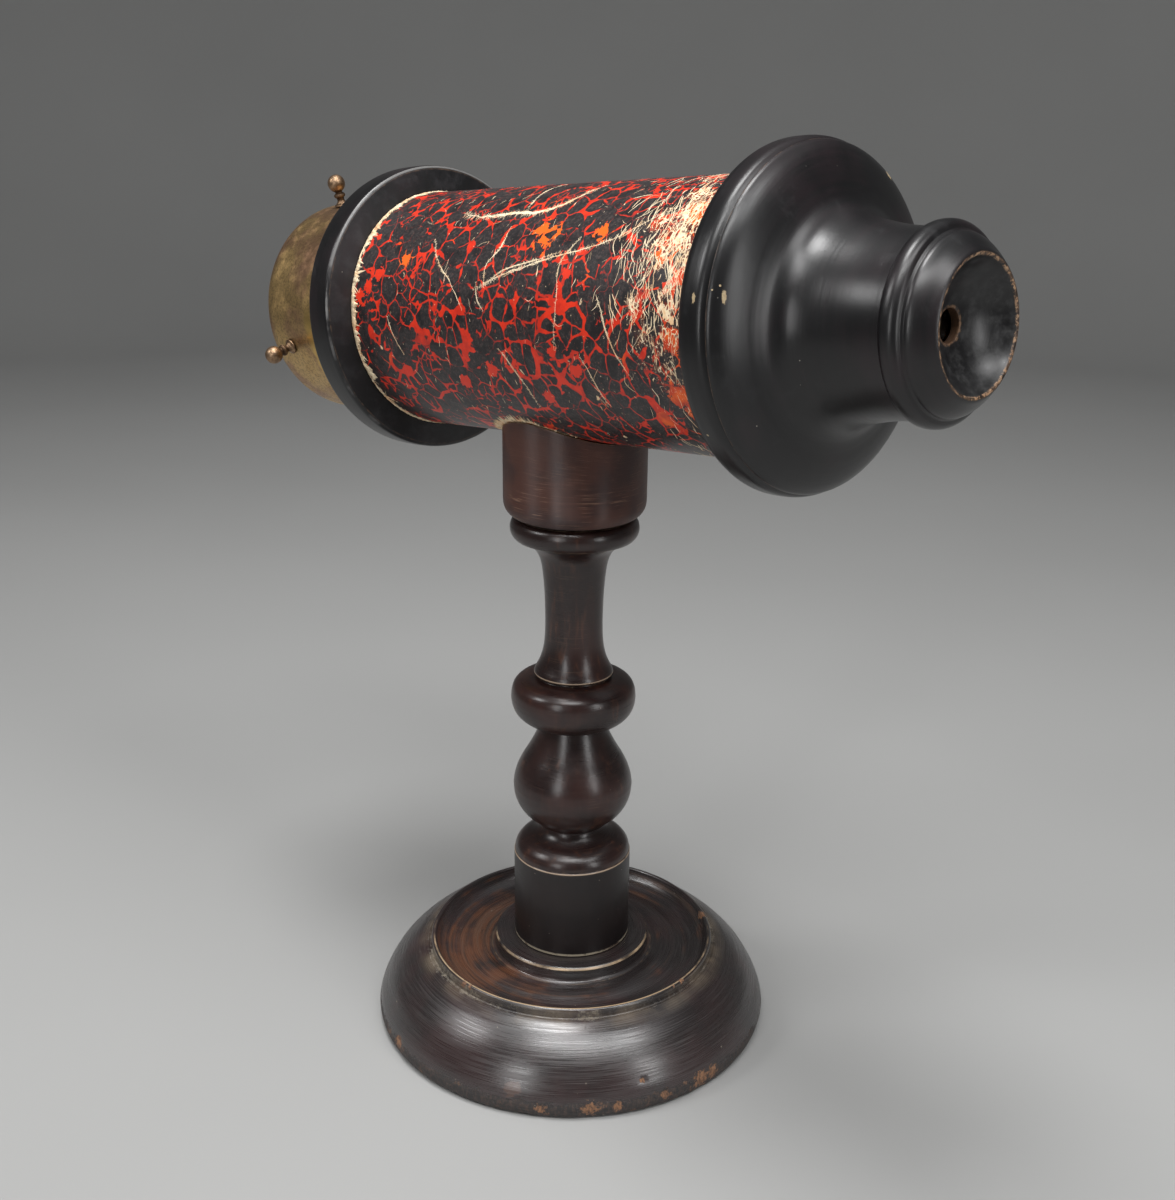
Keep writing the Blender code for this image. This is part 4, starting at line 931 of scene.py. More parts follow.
def vein_net(paper, cell, swell):
    """How far a vein of the marbling is, in millimetres, in a wide net that crowds into a fine one."""
    where = paper.place + paper.noise_vector(15, 2.4) + paper.noise_vector(3.8, 0.85, seed=3)
    jag = (paper.noise(0.8, detail=2.0, roughness=0.6) - 0.5) * 0.26
    crowd = paper.step(paper.noise(10, detail=1.0, seed=14), 0.57, 0.59)
    wide_corner = paper.step(paper.cells(cell, where, "F1"), cell * 0.46, cell * 0.80)
    wide_net = paper.cells(cell, where) - wide_corner * (0.10 + swell * swell * 0.95)
    fine_net = paper.cells(cell * 0.5, where + 40) - swell * 0.06
    return wide_net * (1 - crowd) + fine_net * crowd + jag


def spots_of(paper, table, ragged, grain):
    """1 in the ragged patches of a table of the paper's spots."""
    spots = 0.0
    for angle, place, size in table:
        spot = paper.patch(round_spot(angle, PAPER_RADIUS, place), size, ragged, grain)
        spots = most(spot, spots)
    return spots


def hairlines(paper, along, round_way, lean, length, width, seed):
    """Fine scratches that lean from the barrel's line by an angle, as noise drawn out along them."""
    turn = math.radians(lean)
    ahead = along * math.cos(turn) + round_way * math.sin(turn)
    across = round_way * math.cos(turn) - along * math.sin(turn)
    where = paper.vector(ahead / length, across / width, seed)
    return paper.node("ShaderNodeTexNoise", values={"Vector": where, "Scale": 1.0, "Detail": 2.0})


def worn_paper(paper, tone, along):
    """Rub the marbling to bare paper: hairlines near the flange, patches elsewhere, and torn ends."""
    colours = settings()[1]
    up = paper.axis("X") * -1
    amount = paper_wear(paper, along, up)
    bare = most(bare_lines(paper, along, up, amount), spots_of(paper, BARE_RUBS, 1.1, 1.2))
    specks = paper.specks(0.24, 0.20, 1.8, 4) * 0.7
    ember = paper.step(paper.noise(4, detail=2.0, seed=33), 0.40, 0.62)
    stained = paper.mix(ember, (0.62, 0.055, 0.014), colours.orange)
    tone = paper.mix(paper.step(amount, 0.40, 0.95) * 0.25, tone, stained)
    tone = paper.mix(spots_of(paper, RED_RUBS, 0.6, 2.4) * 0.9, tone, stained)
    pale = paper.mix(paper.step(paper.noise(1.2, detail=4.0), 0.30, 0.60), (0.80, 0.50, 0.26), colours.fibre)
    tone = paper.mix(most(bare, specks), tone, pale)
    torn = torn_ends(paper, along, up)
    # Torn paper mottled by noise between dark brown and pale fibre.
    torn_mottle = paper.step(paper.noise(0.9, detail=3.0, seed=6), 0.38, 0.60)
    tone = paper.mix(torn, tone, paper.mix(torn_mottle, (0.40, 0.19, 0.08), pale))
    rough = 0.30 + paper.noise(14, seed=12) * 0.14 + bare * 0.35 + torn * 0.3
    paper.set(base_color=tone, roughness=rough, specular_ior_level=0.36)
    paper.bump(bare * -0.04 + paper.noise(2.4, detail=3.0) * 0.05 + paper.noise(0.6, detail=2.0) * 0.012)
    return paper


def paper_wear(paper, along, up):
    """How worn the paper is, 0 to 1: most near the flange and on top, in clumps, and in patches elsewhere."""
    upper = paper.step(up, -28.0, 3.0)
    reach = paper.noise(11, detail=3.0, seed=17)
    clump = paper.step(paper.noise(5.5, detail=3.0, roughness=0.6, seed=27), 0.34, 0.62)
    amount = paper.step(along + (reach - 0.5) * 40 + upper * 6, 56.0, 80.0) * (0.22 + 0.78 * upper)
    amount = amount * (0.30 + 0.70 * clump)
    patch = paper.step(paper.noise(6.5, detail=2.0, seed=25), 0.60, 0.70) * paper.step(along, -20.0, 20.0)
    return most(amount, patch * 0.30)


def bare_lines(paper, along, up, amount):
    """1 where the paper is scratched bare: crossing nets of hairlines, and a web of fine cracks."""
    round_way = worked("ARCTAN2", paper.axis("Y"), up) * PAPER_RADIUS
    round_way = round_way + (paper.noise(8, detail=2.0, seed=5) - 0.5) * 3.4
    bent_along = along + (paper.noise(7, detail=2.0, seed=8) - 0.5) * 3.4
    limit = 0.738 - amount * 0.124
    bare = 0.0
    for lean, length, width, shift in HAIRLINES:
        lines = hairlines(paper, bent_along, round_way, lean, length, width, lean * 0.37)
        strand = paper.step(lines, limit + shift, limit + shift + 0.012)
        bare = most(strand, bare)
    sheet = paper.vector(bent_along, round_way * 0.62, 0.0) + paper.noise_vector(1.6, 0.5, seed=7)
    web = paper.cells(1.35, sheet) + (paper.noise(0.7, detail=2.0, seed=41) - 0.5) * 0.36
    thread = amount * 0.26 - 0.13
    return most(paper.step(web, thread + 0.04, thread - 0.04), bare)


def torn_ends(paper, along, up):
    """1 where the paper is torn: at the rear ring, and at the cup's seam on its frayed side."""
    wander = (paper.noise(1.4, detail=3.0, roughness=0.7) - 0.5) * 5.0 + (paper.noise(6, seed=15) - 0.5) * 5.0
    torn = paper.step(along + wander, -64.0, -64.3)
    crumbs = (paper.noise(1.3, detail=4.0, roughness=0.75, seed=5) - 0.5) * 9.0
    seam = paper.seam_way() + crumbs + (paper.noise(6, seed=18) - 0.5) * 6.0
    return most(torn, paper.step(seam, 23.8, 23.5) * paper.step(up, 0.0, -10.0) * paper.seam_side())


def fibre_finish():
    """Bare paper of scratches and torn edges."""
    colours = settings()[1]
    paper = Finish("torn_paper")
    fine = paper.noise(0.5, detail=4.0, roughness=0.7)
    slow = paper.noise(5, detail=3.0)
    tone = paper.mix(paper.step(slow, 0.44, 0.70), colours.fibre, (0.76, 0.49, 0.27))
    tone = paper.mix(paper.step(fine, 0.54, 0.72) * 0.6, tone, (0.50, 0.26, 0.12))
    edge = paper.step(paper.axis("Z"), PAPER_REAR + 5, PAPER_REAR + 3)
    # Darker tan patches by noise near the torn rear edge.
    torn_mottle = paper.step(paper.noise(1.7, detail=4.0, roughness=0.7, seed=3), 0.50, 0.64)
    tone = paper.mix(edge * torn_mottle * 0.75, tone, (0.42, 0.23, 0.12))
    paper.set(base_color=tone, roughness=0.75 + fine * 0.2)
    paper.bump(fine * 0.06)
    return paper


def drum_finish():
    """Aged brass of the drum: olive gold, pinkish patches, and a rubbed strip beside the ring."""
    colours = settings()[1]
    brass = Finish("drum_brass")
    along = brass.axis("Z")
    slow = brass.noise(15, detail=3.0)
    speckle = brass.noise(0.9, detail=4.0, roughness=0.75)
    streak = brass.turning(10, 0.5, detail=4.0)
    tone = brass.mix(brass.step(slow, 0.44, 0.64), colours.brass, colours.brass_pink)
    tone = brass.mix(brass.step(speckle, 0.44, 0.62) * 0.55, tone, (0.170, 0.105, 0.052))
    rim = brass.step(along + (brass.noise(7, detail=3.0, seed=11) - 0.5) * 6, -117.0, -121.0)
    tone = brass.mix(rim * 0.55, tone, (0.230, 0.135, 0.085))
    tone = brass.mix(brass.step(streak, 0.52, 0.74) * 0.30, tone, (0.56, 0.41, 0.17))
    low = brass.step(brass.axis("X") + brass.noise(10, seed=2) * 8, -2.0, 8.0)
    strip = brass.step(along + (brass.noise(5, detail=3.0, seed=3) - 0.5) * 7, -98.0, -95.5) * low
    tone = brass.mix(strip * 0.8, tone, colours.brass_bright)
    near = brass.step(along, -108.0, -98.0) * (1 - low)
    tone = brass.mix(near * brass.step(brass.noise(9, seed=6), 0.42, 0.60) * 0.6, tone, colours.brass_pink)
    dull = brass.step(brass.noise(6, detail=4.0, roughness=0.6, seed=9), 0.45, 0.70)
    rough = 0.36 + dull * 0.14 + speckle * 0.10 - strip * 0.12
    brass.set(base_color=tone, roughness=rough, metallic=1.0)
    brass.bump(streak * 0.010 + speckle * 0.015 + brass.noise(9) * 0.10)
    return brass


def knob_finish():
    """Coppery brass of the knobs, dark in the necks and rubbed bright on the balls."""
    colours = settings()[1]
    brass = Finish("knob_brass")
    mottle = brass.noise(1.1, detail=4.0, roughness=0.7)
    tone = brass.mix(brass.step(mottle, 0.42, 0.68), colours.copper, (0.150, 0.090, 0.055))
    ball = brass.step(brass.axis("Z"), 41.2, 43.4)
    tone = brass.mix(ball * brass.step(brass.noise(2.2), 0.45, 0.65) * 0.40, tone, (0.42, 0.29, 0.19))
    dirt = brass.step(brass.mark("groove"), 0.15, 0.75)
    tone = brass.mix(dirt * 0.8, tone, (0.060, 0.036, 0.022))
    brass.set(base_color=tone, roughness=0.36 + mottle * 0.14 + dirt * 0.2, metallic=1.0)
    brass.bump(mottle * 0.02)
    return brass


def metal_finish(name, tint, dark, rough):
    """Plain metal of an inner ring or screw, with light tarnish."""
    metal = Finish(name)
    tarnish = metal.noise(2.5, detail=4.0, roughness=0.65)
    tone = metal.mix(metal.step(tarnish, 0.42, 0.68), tint, dark)
    metal.set(base_color=tone, roughness=rough + tarnish * 0.15, metallic=1.0)
    metal.bump(metal.noise(0.8, detail=3.0) * 0.01)
    return metal


def glass_finish(name, tint, rough, clear=1.0):
    """Glass with a little dust and smear."""
    glass = Finish(name)
    smear = glass.noise(6, detail=4.0, roughness=0.6)
    dust = glass.specks(0.15, 0.15, 1.6)
    glass.set(base_color=glass.mix(dust * 0.4, tint, (0.5, 0.48, 0.44)), roughness=rough + smear * 0.05)
    glass.set(transmission_weight=clear, ior=1.5)
    return glass


def ground_finish():
    """Ground glass at the drum's end: white and grainy, with a shade of what lies behind it."""
    glass = Finish("ground_glass")
    grain = glass.noise(0.25, detail=3.0, roughness=0.8)
    smear = glass.noise(11, detail=3.0)
    tone = glass.mix(glass.step(smear, 0.35, 0.70), (0.60, 0.62, 0.60), (0.48, 0.49, 0.46))
    glass.set(base_color=tone, roughness=0.42 + grain * 0.2, alpha=0.80 + smear * 0.1)
    glass.bump(grain * 0.02)
    return glass


def board_finish(name, light, dark):
    """Pasteboard, card or bare pine inside the barrel."""
    board = Finish(name)
    grain = board.noise(1.4, board.place * (1.0, 1.0, 0.12), detail=4.0)
    tone = board.mix(board.step(grain, 0.36, 0.66), light, dark)
    tone = board.mix(board.step(board.noise(9, detail=3.0), 0.5, 0.7) * 0.4, tone, dark)
    board.set(base_color=tone, roughness=0.8 + grain * 0.15)
    board.bump(grain * 0.04)
    return board


def chipped(spot, point):
    """Lower edge of the base, knocked back in the chips."""
    depth = settings()[0].chip_depth / MM
    if point.x < CHIPPED_RADIUS or point.y > CHIPPED_HEIGHT:
        return spot
    amount = 0.0
    for centre, size in CHIPS:
        away = (spot - Vector(centre)).length / (size * 1.5)
        amount = max(amount, 1 - away)
    ragged = max(0.0, noise.noise(spot * 0.28) + 0.10) * max(0.0, 1 - spot.z / 4.5)
    amount = max(0.0, min(1.0, amount)) + 0.55 * ragged
    amount *= 0.7 + 0.6 * noise.noise(spot * 0.9)
    inward = Vector((-spot.x, -spot.y, 0)).normalized()
    return spot + (inward + Vector((0, 0, 0.25 if spot.z > 0.2 else 0))) * (depth * max(0.0, amount))


def seat_height(x, y):
    """Height of the cup's seat, under the barrel, in millimetres."""
    drop = math.sqrt(CUP_SEAT_RADIUS ** 2 - y ** 2)
    return AXIS_POINT.z / MM + (x * AXIS_WAY.z - drop) / AXIS_WAY.x


def seated(spot, point):
    """The cup's wall and top, drawn to the barrel's curve."""
    if point.y <= CUP_LEVEL:
        return spot
    share = (point.y - CUP_LEVEL) / (CUP_TOP - CUP_LEVEL)
    return Vector((spot.x, spot.y, CUP_LEVEL + share * (seat_height(spot.x, spot.y) - CUP_LEVEL)))


def rippled(spot, point):
    """The paper's slow ripples, inwards only, so that it stays inside its size."""
    relief = settings()[0].paper_relief / MM
    if point.x < PAPER_RADIUS - 0.05:
        return spot
    wave = noise.noise(spot * 0.09) + 0.5 * noise.noise(spot * 0.35)
    drop = relief * (0.9 + 0.6 * wave)
    share = 1 - max(0.0, drop) / PAPER_RADIUS
    return Vector((spot.x * share, spot.y * share, spot.z))


def round_spot(angle, radius, along):
    """A point on the barrel at an angle from straight down, in millimetres in the barrel's frame."""
    turn = math.radians(angle)
    return Vector((radius * math.cos(turn), radius * math.sin(turn), along))


class Strips:
    """Flat ragged strips of paper, gathered into one mesh in the barrel's frame."""

    def __init__(self, name, seed):
        self.name = name
        self.work = bmesh.new()
        self.random = random.Random(seed)

    def add(self, spots, widths, lifts):
        """A strip along some spots on the barrel, with its width and its height over the paper at each."""
        rows = []
        for i, spot in enumerate(spots):
            ahead = spots[min(i + 1, len(spots) - 1)] - spots[max(i - 1, 0)]
            out = Vector((spot.x, spot.y, 0)).normalized()
            across = out.cross(ahead).normalized()
            half = widths[i] / 2
            top = spot + out * lifts[i]
            low = spot - out * STRIP_DEPTH
            left = across * half * (1 + self.random.uniform(-STRIP_RAG_SHARE, STRIP_RAG_SHARE))
            right = across * half * (1 + self.random.uniform(-STRIP_RAG_SHARE, STRIP_RAG_SHARE))
            section = (low - left, top - left * 0.4, top + right * 0.4, low + right)
            rows.append([self.work.verts.new(point * MM) for point in section])
        for first, second in zip(rows, rows[1:]):
            for k in range(3):
                self.work.faces.new((first[k], first[k + 1], second[k + 1], second[k]))
            self.work.faces.new((first[3], first[0], second[0], second[3]))
        self.work.faces.new(rows[0])
        self.work.faces.new(reversed(rows[-1]))

    def finish(self):
        """The mesh object of all strips."""
        return piece_of(self.name, self.work, smooth=False)


def scratch_spots(places, chance, wander):
    """Close points on the paper along a scratch's places."""
    ways = smooth_curve([(along, math.radians(angle) * PAPER_RADIUS) for along, angle in places])
    spots = []
    for way in ways:
        along = way.x + chance.uniform(-wander, wander)
        angle = math.degrees((way.y + chance.uniform(-wander, wander)) / PAPER_RADIUS)
        spots.append(round_spot(angle, PAPER_RADIUS - FIBRE_DEPTH, along))
    return spots


def add_scratch(strips, width, places):
    """A long scratch: strands of torn fibre that wander side by side, and short hairs across them."""
    chance = strips.random
    spots = scratch_spots(places, chance, 0)
    count = len(spots)
    frames = []
    for i, spot in enumerate(spots):
        ahead = (spots[min(i + 1, count - 1)] - spots[max(i - 1, 0)]).normalized()
        out = Vector((spot.x, spot.y, 0)).normalized()
        frames.append((spot, ahead, out.cross(ahead)))
    for k in range(2 + round(width * 5)):
        add_strand(strips, frames, width, whole=k == 0)
    for _ in range(int(count * (0.7 + 1.6 * width))):
        spot, ahead, across = frames[chance.randrange(count)]
        reach = width * chance.uniform(0.9, 2.4) + 0.15
        way = across * chance.choice((-1, 1)) + ahead * chance.uniform(-0.9, 0.9)
        tip = on_paper(spot + way * reach)
        strips.add([spot, (spot + tip) / 2, tip], [0.20, 0.15, 0.05], [0.03, 0.05, 0.02])


def add_strand(strips, frames, width, whole):
    """A strand of a long scratch: its whole way, or a stretch of it and off to one side."""
    chance = strips.random
    count = len(frames)
    first = 0 if whole else chance.randrange(0, max(1, count // 2))
    last = count if whole else chance.randrange(min(first + 5, count), count + 1)
    shift = 0 if whole else chance.uniform(-1, 1) * width * 0.9
    phase = Vector((chance.uniform(0, 99), chance.uniform(0, 99), chance.uniform(0, 99)))
    line = []
    widths = []
    for i in range(first, last):
        spot, _, across = frames[i]
        off = shift + width * 0.9 * noise.noise(spot * 0.45 + phase)
        to_end = min(i - first, last - 1 - i)
        share = min(1.0, 0.2 + 4.0 * to_end / (last - first))
        line.append(on_paper(spot + across * off))
        widths.append(max(0.08, width * 0.95 * share * (1 + 1.1 * noise.noise(spot * 1.3 + phase))))
    if len(line) > 2:
        strips.add(line, widths, [chance.uniform(0.02, 0.06)] * len(line))


def on_paper(spot):
    """The nearest point just under the paper's surface."""
    share = (PAPER_RADIUS - FIBRE_DEPTH) / math.hypot(spot.x, spot.y)
    return Vector((spot.x * share, spot.y * share, spot.z))


def add_stray(strips):
    """A short scratch somewhere on the paper, more of them towards the flange."""
    chance = strips.random
    along = PAPER_REAR + 3 + (PAPER_FRONT - PAPER_REAR - 6) * chance.random() ** 0.7
    angle = chance.uniform(0, 360)
    length = chance.uniform(0.8, 5.0)
    lean = chance.gauss(math.pi / 2, 0.7)
    add_line(strips, along, angle, length, lean, chance.uniform(0.10, 0.24))


def add_rub(strips):
    """One of the many scratches round the paper's front end, where the barrel is held."""
    chance = strips.random
    along = chance.triangular(44, PAPER_FRONT - 0.6, 76)
    angle = chance.triangular(-185, -82, -126) if chance.random() < 0.75 else chance.uniform(-82, 175)
    length = chance.uniform(1.5, 9.0)
    lean = chance.gauss(math.pi / 2, 0.34)
    add_line(strips, along, angle, length, lean, chance.uniform(0.16, 0.50))


def add_line(strips, along, angle, length, lean, width):
    """A single slightly bent scratch from a place, in millimetres, degrees and radians."""
    chance = strips.random
    places = []
    for i in range(3):
        go = length * i / 2
        bend = lean + chance.uniform(-0.3, 0.3)
        places.append((along + go * math.cos(bend), angle + math.degrees(go * math.sin(bend) / PAPER_RADIUS)))
    if not PAPER_REAR + 1 < places[-1][0] < PAPER_FRONT - 1:
        return
    spots = scratch_spots(places, chance, 0.05)
    count = len(spots)
    widths = [width * min(1.0, 0.3 + 3.0 * min(i, count - 1 - i) / count) for i in range(count)]
    strips.add(spots, widths, [0.04] * count)


def torn_lip(name, width):
    """The paper's torn edge against the rear ring: a low ragged band."""
    work = bmesh.new()
    rows = []
    for k in range(LIP_STEPS):
        angle = 360 * k / LIP_STEPS
        spot = round_spot(angle, PAPER_RADIUS, 0)
        rag = noise.noise(spot * 0.55) + 0.6 * noise.noise(spot * 1.9)
        slow = noise.noise(spot * 0.14 + Vector((3, 1, 7)))
        reach = max(0.35, width * (0.92 + 2.8 * slow + 1.8 * rag + 0.5 * noise.noise(spot * 3.1)))
        lift = 0.24 + 0.16 * noise.noise(spot * 1.1 + Vector((9, 9, 9)))
        section = (
            (PAPER_RADIUS - LIP_DEPTH, PAPER_REAR + 0.02), (PAPER_RADIUS + lift, PAPER_REAR + 0.04),
            (PAPER_RADIUS + lift * 0.8, PAPER_REAR + reach * 0.45), (PAPER_RADIUS - 0.02, PAPER_REAR + reach),
            (PAPER_RADIUS - LIP_DEPTH, PAPER_REAR + reach * 0.9),
        )
        rows.append([work.verts.new(round_spot(angle, radius, along) * MM) for radius, along in section])
    for first, second in zip(rows, rows[1:] + rows[:1]):
        for k in range(len(first)):
            n = (k + 1) % len(first)
            work.faces.new((first[k], first[n], second[n], second[k]))
    return piece_of(name, work)


def add_slivers(strips, count):
    """Slivers and tongues of paper along the torn edge at the ring, and slivers along the cup's seam."""
    chance = strips.random
    for _ in range(count):
        add_ring_sliver(strips)
    for _ in range(count // 8):
        add_tongue(strips, chance.uniform(0, 360), chance.uniform(1.6, 3.6), chance.uniform(0.7, 1.5))
    for angle, length, wide in TONGUES:
        add_tongue(strips, angle, length, wide)
    for i in range(count * 2 // 3):
        add_seam_sliver(strips, frayed=i % 3 > 0)


def add_ring_sliver(strips):
    """A sliver of paper that leans over at the torn edge."""
    chance = strips.random
    angle = chance.uniform(0, 360)
    start = PAPER_REAR + chance.uniform(0.1, 1.3)
    length = chance.uniform(0.5, 2.6) * chance.choice((1.0, 1.0, 1.5))
    lean = chance.choice((-1, 1)) * chance.uniform(0.9, 1.5)
    side = angle + math.degrees(length * math.sin(lean) / PAPER_RADIUS)
    tip = on_paper(round_spot(side, PAPER_RADIUS, start + length * abs(math.cos(lean))))
    base = on_paper(round_spot(angle, PAPER_RADIUS, start))
    wide = chance.uniform(0.15, 0.45)
    lift = chance.uniform(0.05, 0.35)
    strips.add([base, (base + tip) / 2, tip], [wide, wide * 0.8, 0.06], [0.10, lift, lift * 0.7])


def add_seam_sliver(strips, frayed):
    """A sliver of paper that stands off the cup's seam, on its frayed side or anywhere round it."""
    chance = strips.random
    turn = math.radians(chance.triangular(-150, -70, -120) if frayed else chance.uniform(-180, 180))
    x = CUP_RADIUS * math.cos(turn) + chance.uniform(-0.4, 0.4)
    y = CUP_RADIUS * math.sin(turn)
    out = chance.uniform(0.4, 2.2) if frayed else chance.uniform(0.2, 0.8)
    spots = [on_paper(barrel_spot(x * k, y * k)) for k in (1 + out / 70, 1 + out / 30, 1 + out / 16)]
    wide = chance.uniform(0.2, 0.7)
    strips.add(spots, [wide, wide, 0.08], [0.06, chance.uniform(0.05, 0.30), 0.05])


def add_tongue(strips, angle, length, wide):
    """A tongue of torn paper that points away from the ring."""
    chance = strips.random
    spots = []
    widths = []
    lean = chance.uniform(-0.9, 0.9)
    for i in range(5):
        go = length * i / 4
        side = angle + math.degrees(go * lean / PAPER_RADIUS)
        spots.append(on_paper(round_spot(side, PAPER_RADIUS, PAPER_REAR + 0.7 + go)))
        widths.append(max(0.08, wide * (1 - i / 4) ** 0.8))
    strips.add(spots, widths, [0.12, 0.10, 0.10, 0.08, 0.05])


def barrel_spot(x, y):
    """The point of the barrel's underside over a place of the stand, in the barrel's frame."""
    world = Vector((x, y, seat_height(x, y))) * MM
    return (BARREL.inverted() @ world) / MM


class KaleidoscopeOperator:
    """What the operators share."""

    bl_options = {"REGISTER", "UNDO"}


class KALEIDOSCOPE_OT_base(KaleidoscopeOperator, bpy.types.Operator):
    """Turn the base and finish it"""

    bl_idname = "kaleidoscope.base"
    bl_label = "Base"

    def execute(self, context):
        piece = turned("base_turned", BASE_OUTLINE, WIDE_STEPS * 2, chipped)
        fit(piece, "stand", base_finish(), ["base"])
        return {"FINISHED"}


class KALEIDOSCOPE_OT_column(KaleidoscopeOperator, bpy.types.Operator):
    """Turn the column and finish it"""

    bl_idname = "kaleidoscope.column"
    bl_label = "Column"

    def execute(self, context):
        piece = turned("column_turned", COLUMN_OUTLINE, POST_STEPS)
        fit(piece, "stand", column_finish(), ["column"])
        return {"FINISHED"}


class KALEIDOSCOPE_OT_cup(KaleidoscopeOperator, bpy.types.Operator):
    """Turn the cup and hollow it to the barrel"""

    bl_idname = "kaleidoscope.cup"
    bl_label = "Cup"

    def execute(self, context):
        piece = turned("cup_turned", CUP_OUTLINE, POST_STEPS, seated)
        fit(piece, "barrel", cup_finish(), ["saddle_cup"])
        return {"FINISHED"}


class KALEIDOSCOPE_OT_bell(KaleidoscopeOperator, bpy.types.Operator):
    """Turn the eyepiece bell and ebonise it"""

    bl_idname = "kaleidoscope.bell"
    bl_label = "Eyepiece bell"

    def execute(self, context):
        piece = turned("bell_turned", BELL_OUTLINE, WIDE_STEPS)
        fit(piece, "barrel", bell_finish(), ["eyepiece_bell"], BARREL)
        return {"FINISHED"}


class KALEIDOSCOPE_OT_ring(KaleidoscopeOperator, bpy.types.Operator):
    """Turn the rear ring and ebonise it"""

    bl_idname = "kaleidoscope.ring"
    bl_label = "Rear ring"

    def execute(self, context):
        piece = turned("ring_turned", RING_OUTLINE, WIDE_STEPS)
        fit(piece, "barrel", ring_finish(), ["rear_ring"], BARREL)
        return {"FINISHED"}


class KALEIDOSCOPE_OT_paper(KaleidoscopeOperator, bpy.types.Operator):
    """Cover the tube with marbled paper"""

    bl_idname = "kaleidoscope.paper"
    bl_label = "Marbled paper"

    def execute(self, context):
        outline = (
            ((PAPER_INNER, PAPER_REAR), (PAPER_RADIUS, PAPER_REAR)),
            ((PAPER_RADIUS, PAPER_REAR), (PAPER_RADIUS, PAPER_FRONT)),
            ((PAPER_RADIUS, PAPER_FRONT), (PAPER_INNER, PAPER_FRONT)),
            ((PAPER_INNER, PAPER_FRONT), (PAPER_INNER, PAPER_REAR)),
        )
        piece = turned("paper_wrap", outline, PAPER_STEPS, rippled)
        fit(piece, "barrel", marbled_finish(), ["paper_cover"], BARREL)
        return {"FINISHED"}


class KALEIDOSCOPE_OT_wear(KaleidoscopeOperator, bpy.types.Operator):
    """Scratch the paper and tear its edges"""

    bl_idname = "kaleidoscope.wear"
    bl_label = "Scratches and torn edges"

    def execute(self, context):
        sizes = settings()[0]
        bare = fibre_finish()
        scratches = Strips("paper_scratches", 11)
        for width, places in SCRATCHES:
            add_scratch(scratches, width, places)
        for _ in range(sizes.rub_scratches):
            add_rub(scratches)
        for _ in range(sizes.stray_scratches):
            add_stray(scratches)
        fit(scratches.finish(), "barrel", bare, matrix=BARREL)
        slivers = Strips("paper_slivers", 23)
        add_slivers(slivers, sizes.sliver_count)
        fit(slivers.finish(), "barrel", bare, matrix=BARREL)
        lip = torn_lip("paper_torn_edge", sizes.tear_width / MM)
        fit(lip, "barrel", bare, matrix=BARREL)
        return {"FINISHED"}


class KALEIDOSCOPE_OT_drum(KaleidoscopeOperator, bpy.types.Operator):
    """Spin the brass drum"""

    bl_idname = "kaleidoscope.drum"
    bl_label = "Brass drum"

    def execute(self, context):
        piece = turned("drum_spun", DRUM_OUTLINE, WIDE_STEPS)
        fit(piece, "cell", drum_finish(), ["cell_drum"], BARREL)
        return {"FINISHED"}


class KALEIDOSCOPE_OT_knobs(KaleidoscopeOperator, bpy.types.Operator):
    """Turn the knobs and set them round the drum"""

    bl_idname = "kaleidoscope.knobs"
    bl_label = "Knobs"

    def execute(self, context):
        brass = knob_finish()
        for i, angle in enumerate(KNOB_ANGLES, 1):
            turn = math.radians(angle)
            out = Vector((-math.sin(turn), math.cos(turn), 0))
            stand = Matrix((Vector((0, 0, 1)), out.cross(Vector((0, 0, 1))), out)).transposed().to_4x4()
            place = BARREL @ Matrix.Translation((0, 0, KNOB_HEIGHT_ALONG * MM)) @ stand
            piece = turned(f"knob_{i}_turned", KNOB_OUTLINE, SMALL_STEPS)
            fit(piece, "cell", brass, [f"knob_{i}"], place)
        return {"FINISHED"}


class KALEIDOSCOPE_OT_inside(KaleidoscopeOperator, bpy.types.Operator):
    """Finish the mirrors, glasses, boards and fastenings inside the barrel"""

    bl_idname = "kaleidoscope.inside"
    bl_label = "Inside of the barrel"

    def execute(self, context):
        clear = glass_finish("clear_glass", (0.90, 0.95, 0.93), 0.02)
        plain_brass = metal_finish("plain_brass", (0.58, 0.42, 0.16), (0.36, 0.24, 0.10), 0.28)
        pine = board_finish("cradle_pine", (0.46, 0.30, 0.15), (0.30, 0.17, 0.08))
        board = board_finish("tube_board", (0.42, 0.33, 0.22), (0.30, 0.22, 0.14))
        card = board_finish("spacer_card", (0.30, 0.24, 0.16), (0.19, 0.15, 0.10))
        black = board_finish("blackened_card", (0.014, 0.013, 0.012), (0.008, 0.008, 0.008))
        silver = metal_finish("mirror_silver", (0.88, 0.89, 0.88), (0.78, 0.78, 0.76), 0.02)
        steel = metal_finish("screw_steel", (0.32, 0.31, 0.30), (0.16, 0.12, 0.10), 0.30)
        finishes = {
            "tube": board, "bearing_sleeve": board, "cell_spacer": card, "mirror_backing": black,
            "mirror_left": silver, "mirror_right": silver, "mirror_cradle_rear": pine,
            "mirror_cradle_front": pine, "saddle_screw": steel, "saddle_washer": plain_brass,
            "eye_glass": clear, "end_glass": clear, "cell_glass": clear, "eye_glass_ring": plain_brass,
            "end_glass_ring": plain_brass, "cell_glass_ring": plain_brass, "ground_glass": ground_finish(),
        }
        for material in frame["record"]["materials"]:
            slot = material["slot"]
            if slot.startswith("chip_glass_"):
                tint = glass_finish(slot, material["base_color"][:3], 0.03, clear=0.7)
                finishes[slot.replace("chip_glass", "glass_chip")] = tint
        for node, finish in finishes.items():
            piece = frame["nodes"][node]
            piece.data.materials.clear()
            piece.data.materials.append(finish.material)
        return {"FINISHED"}


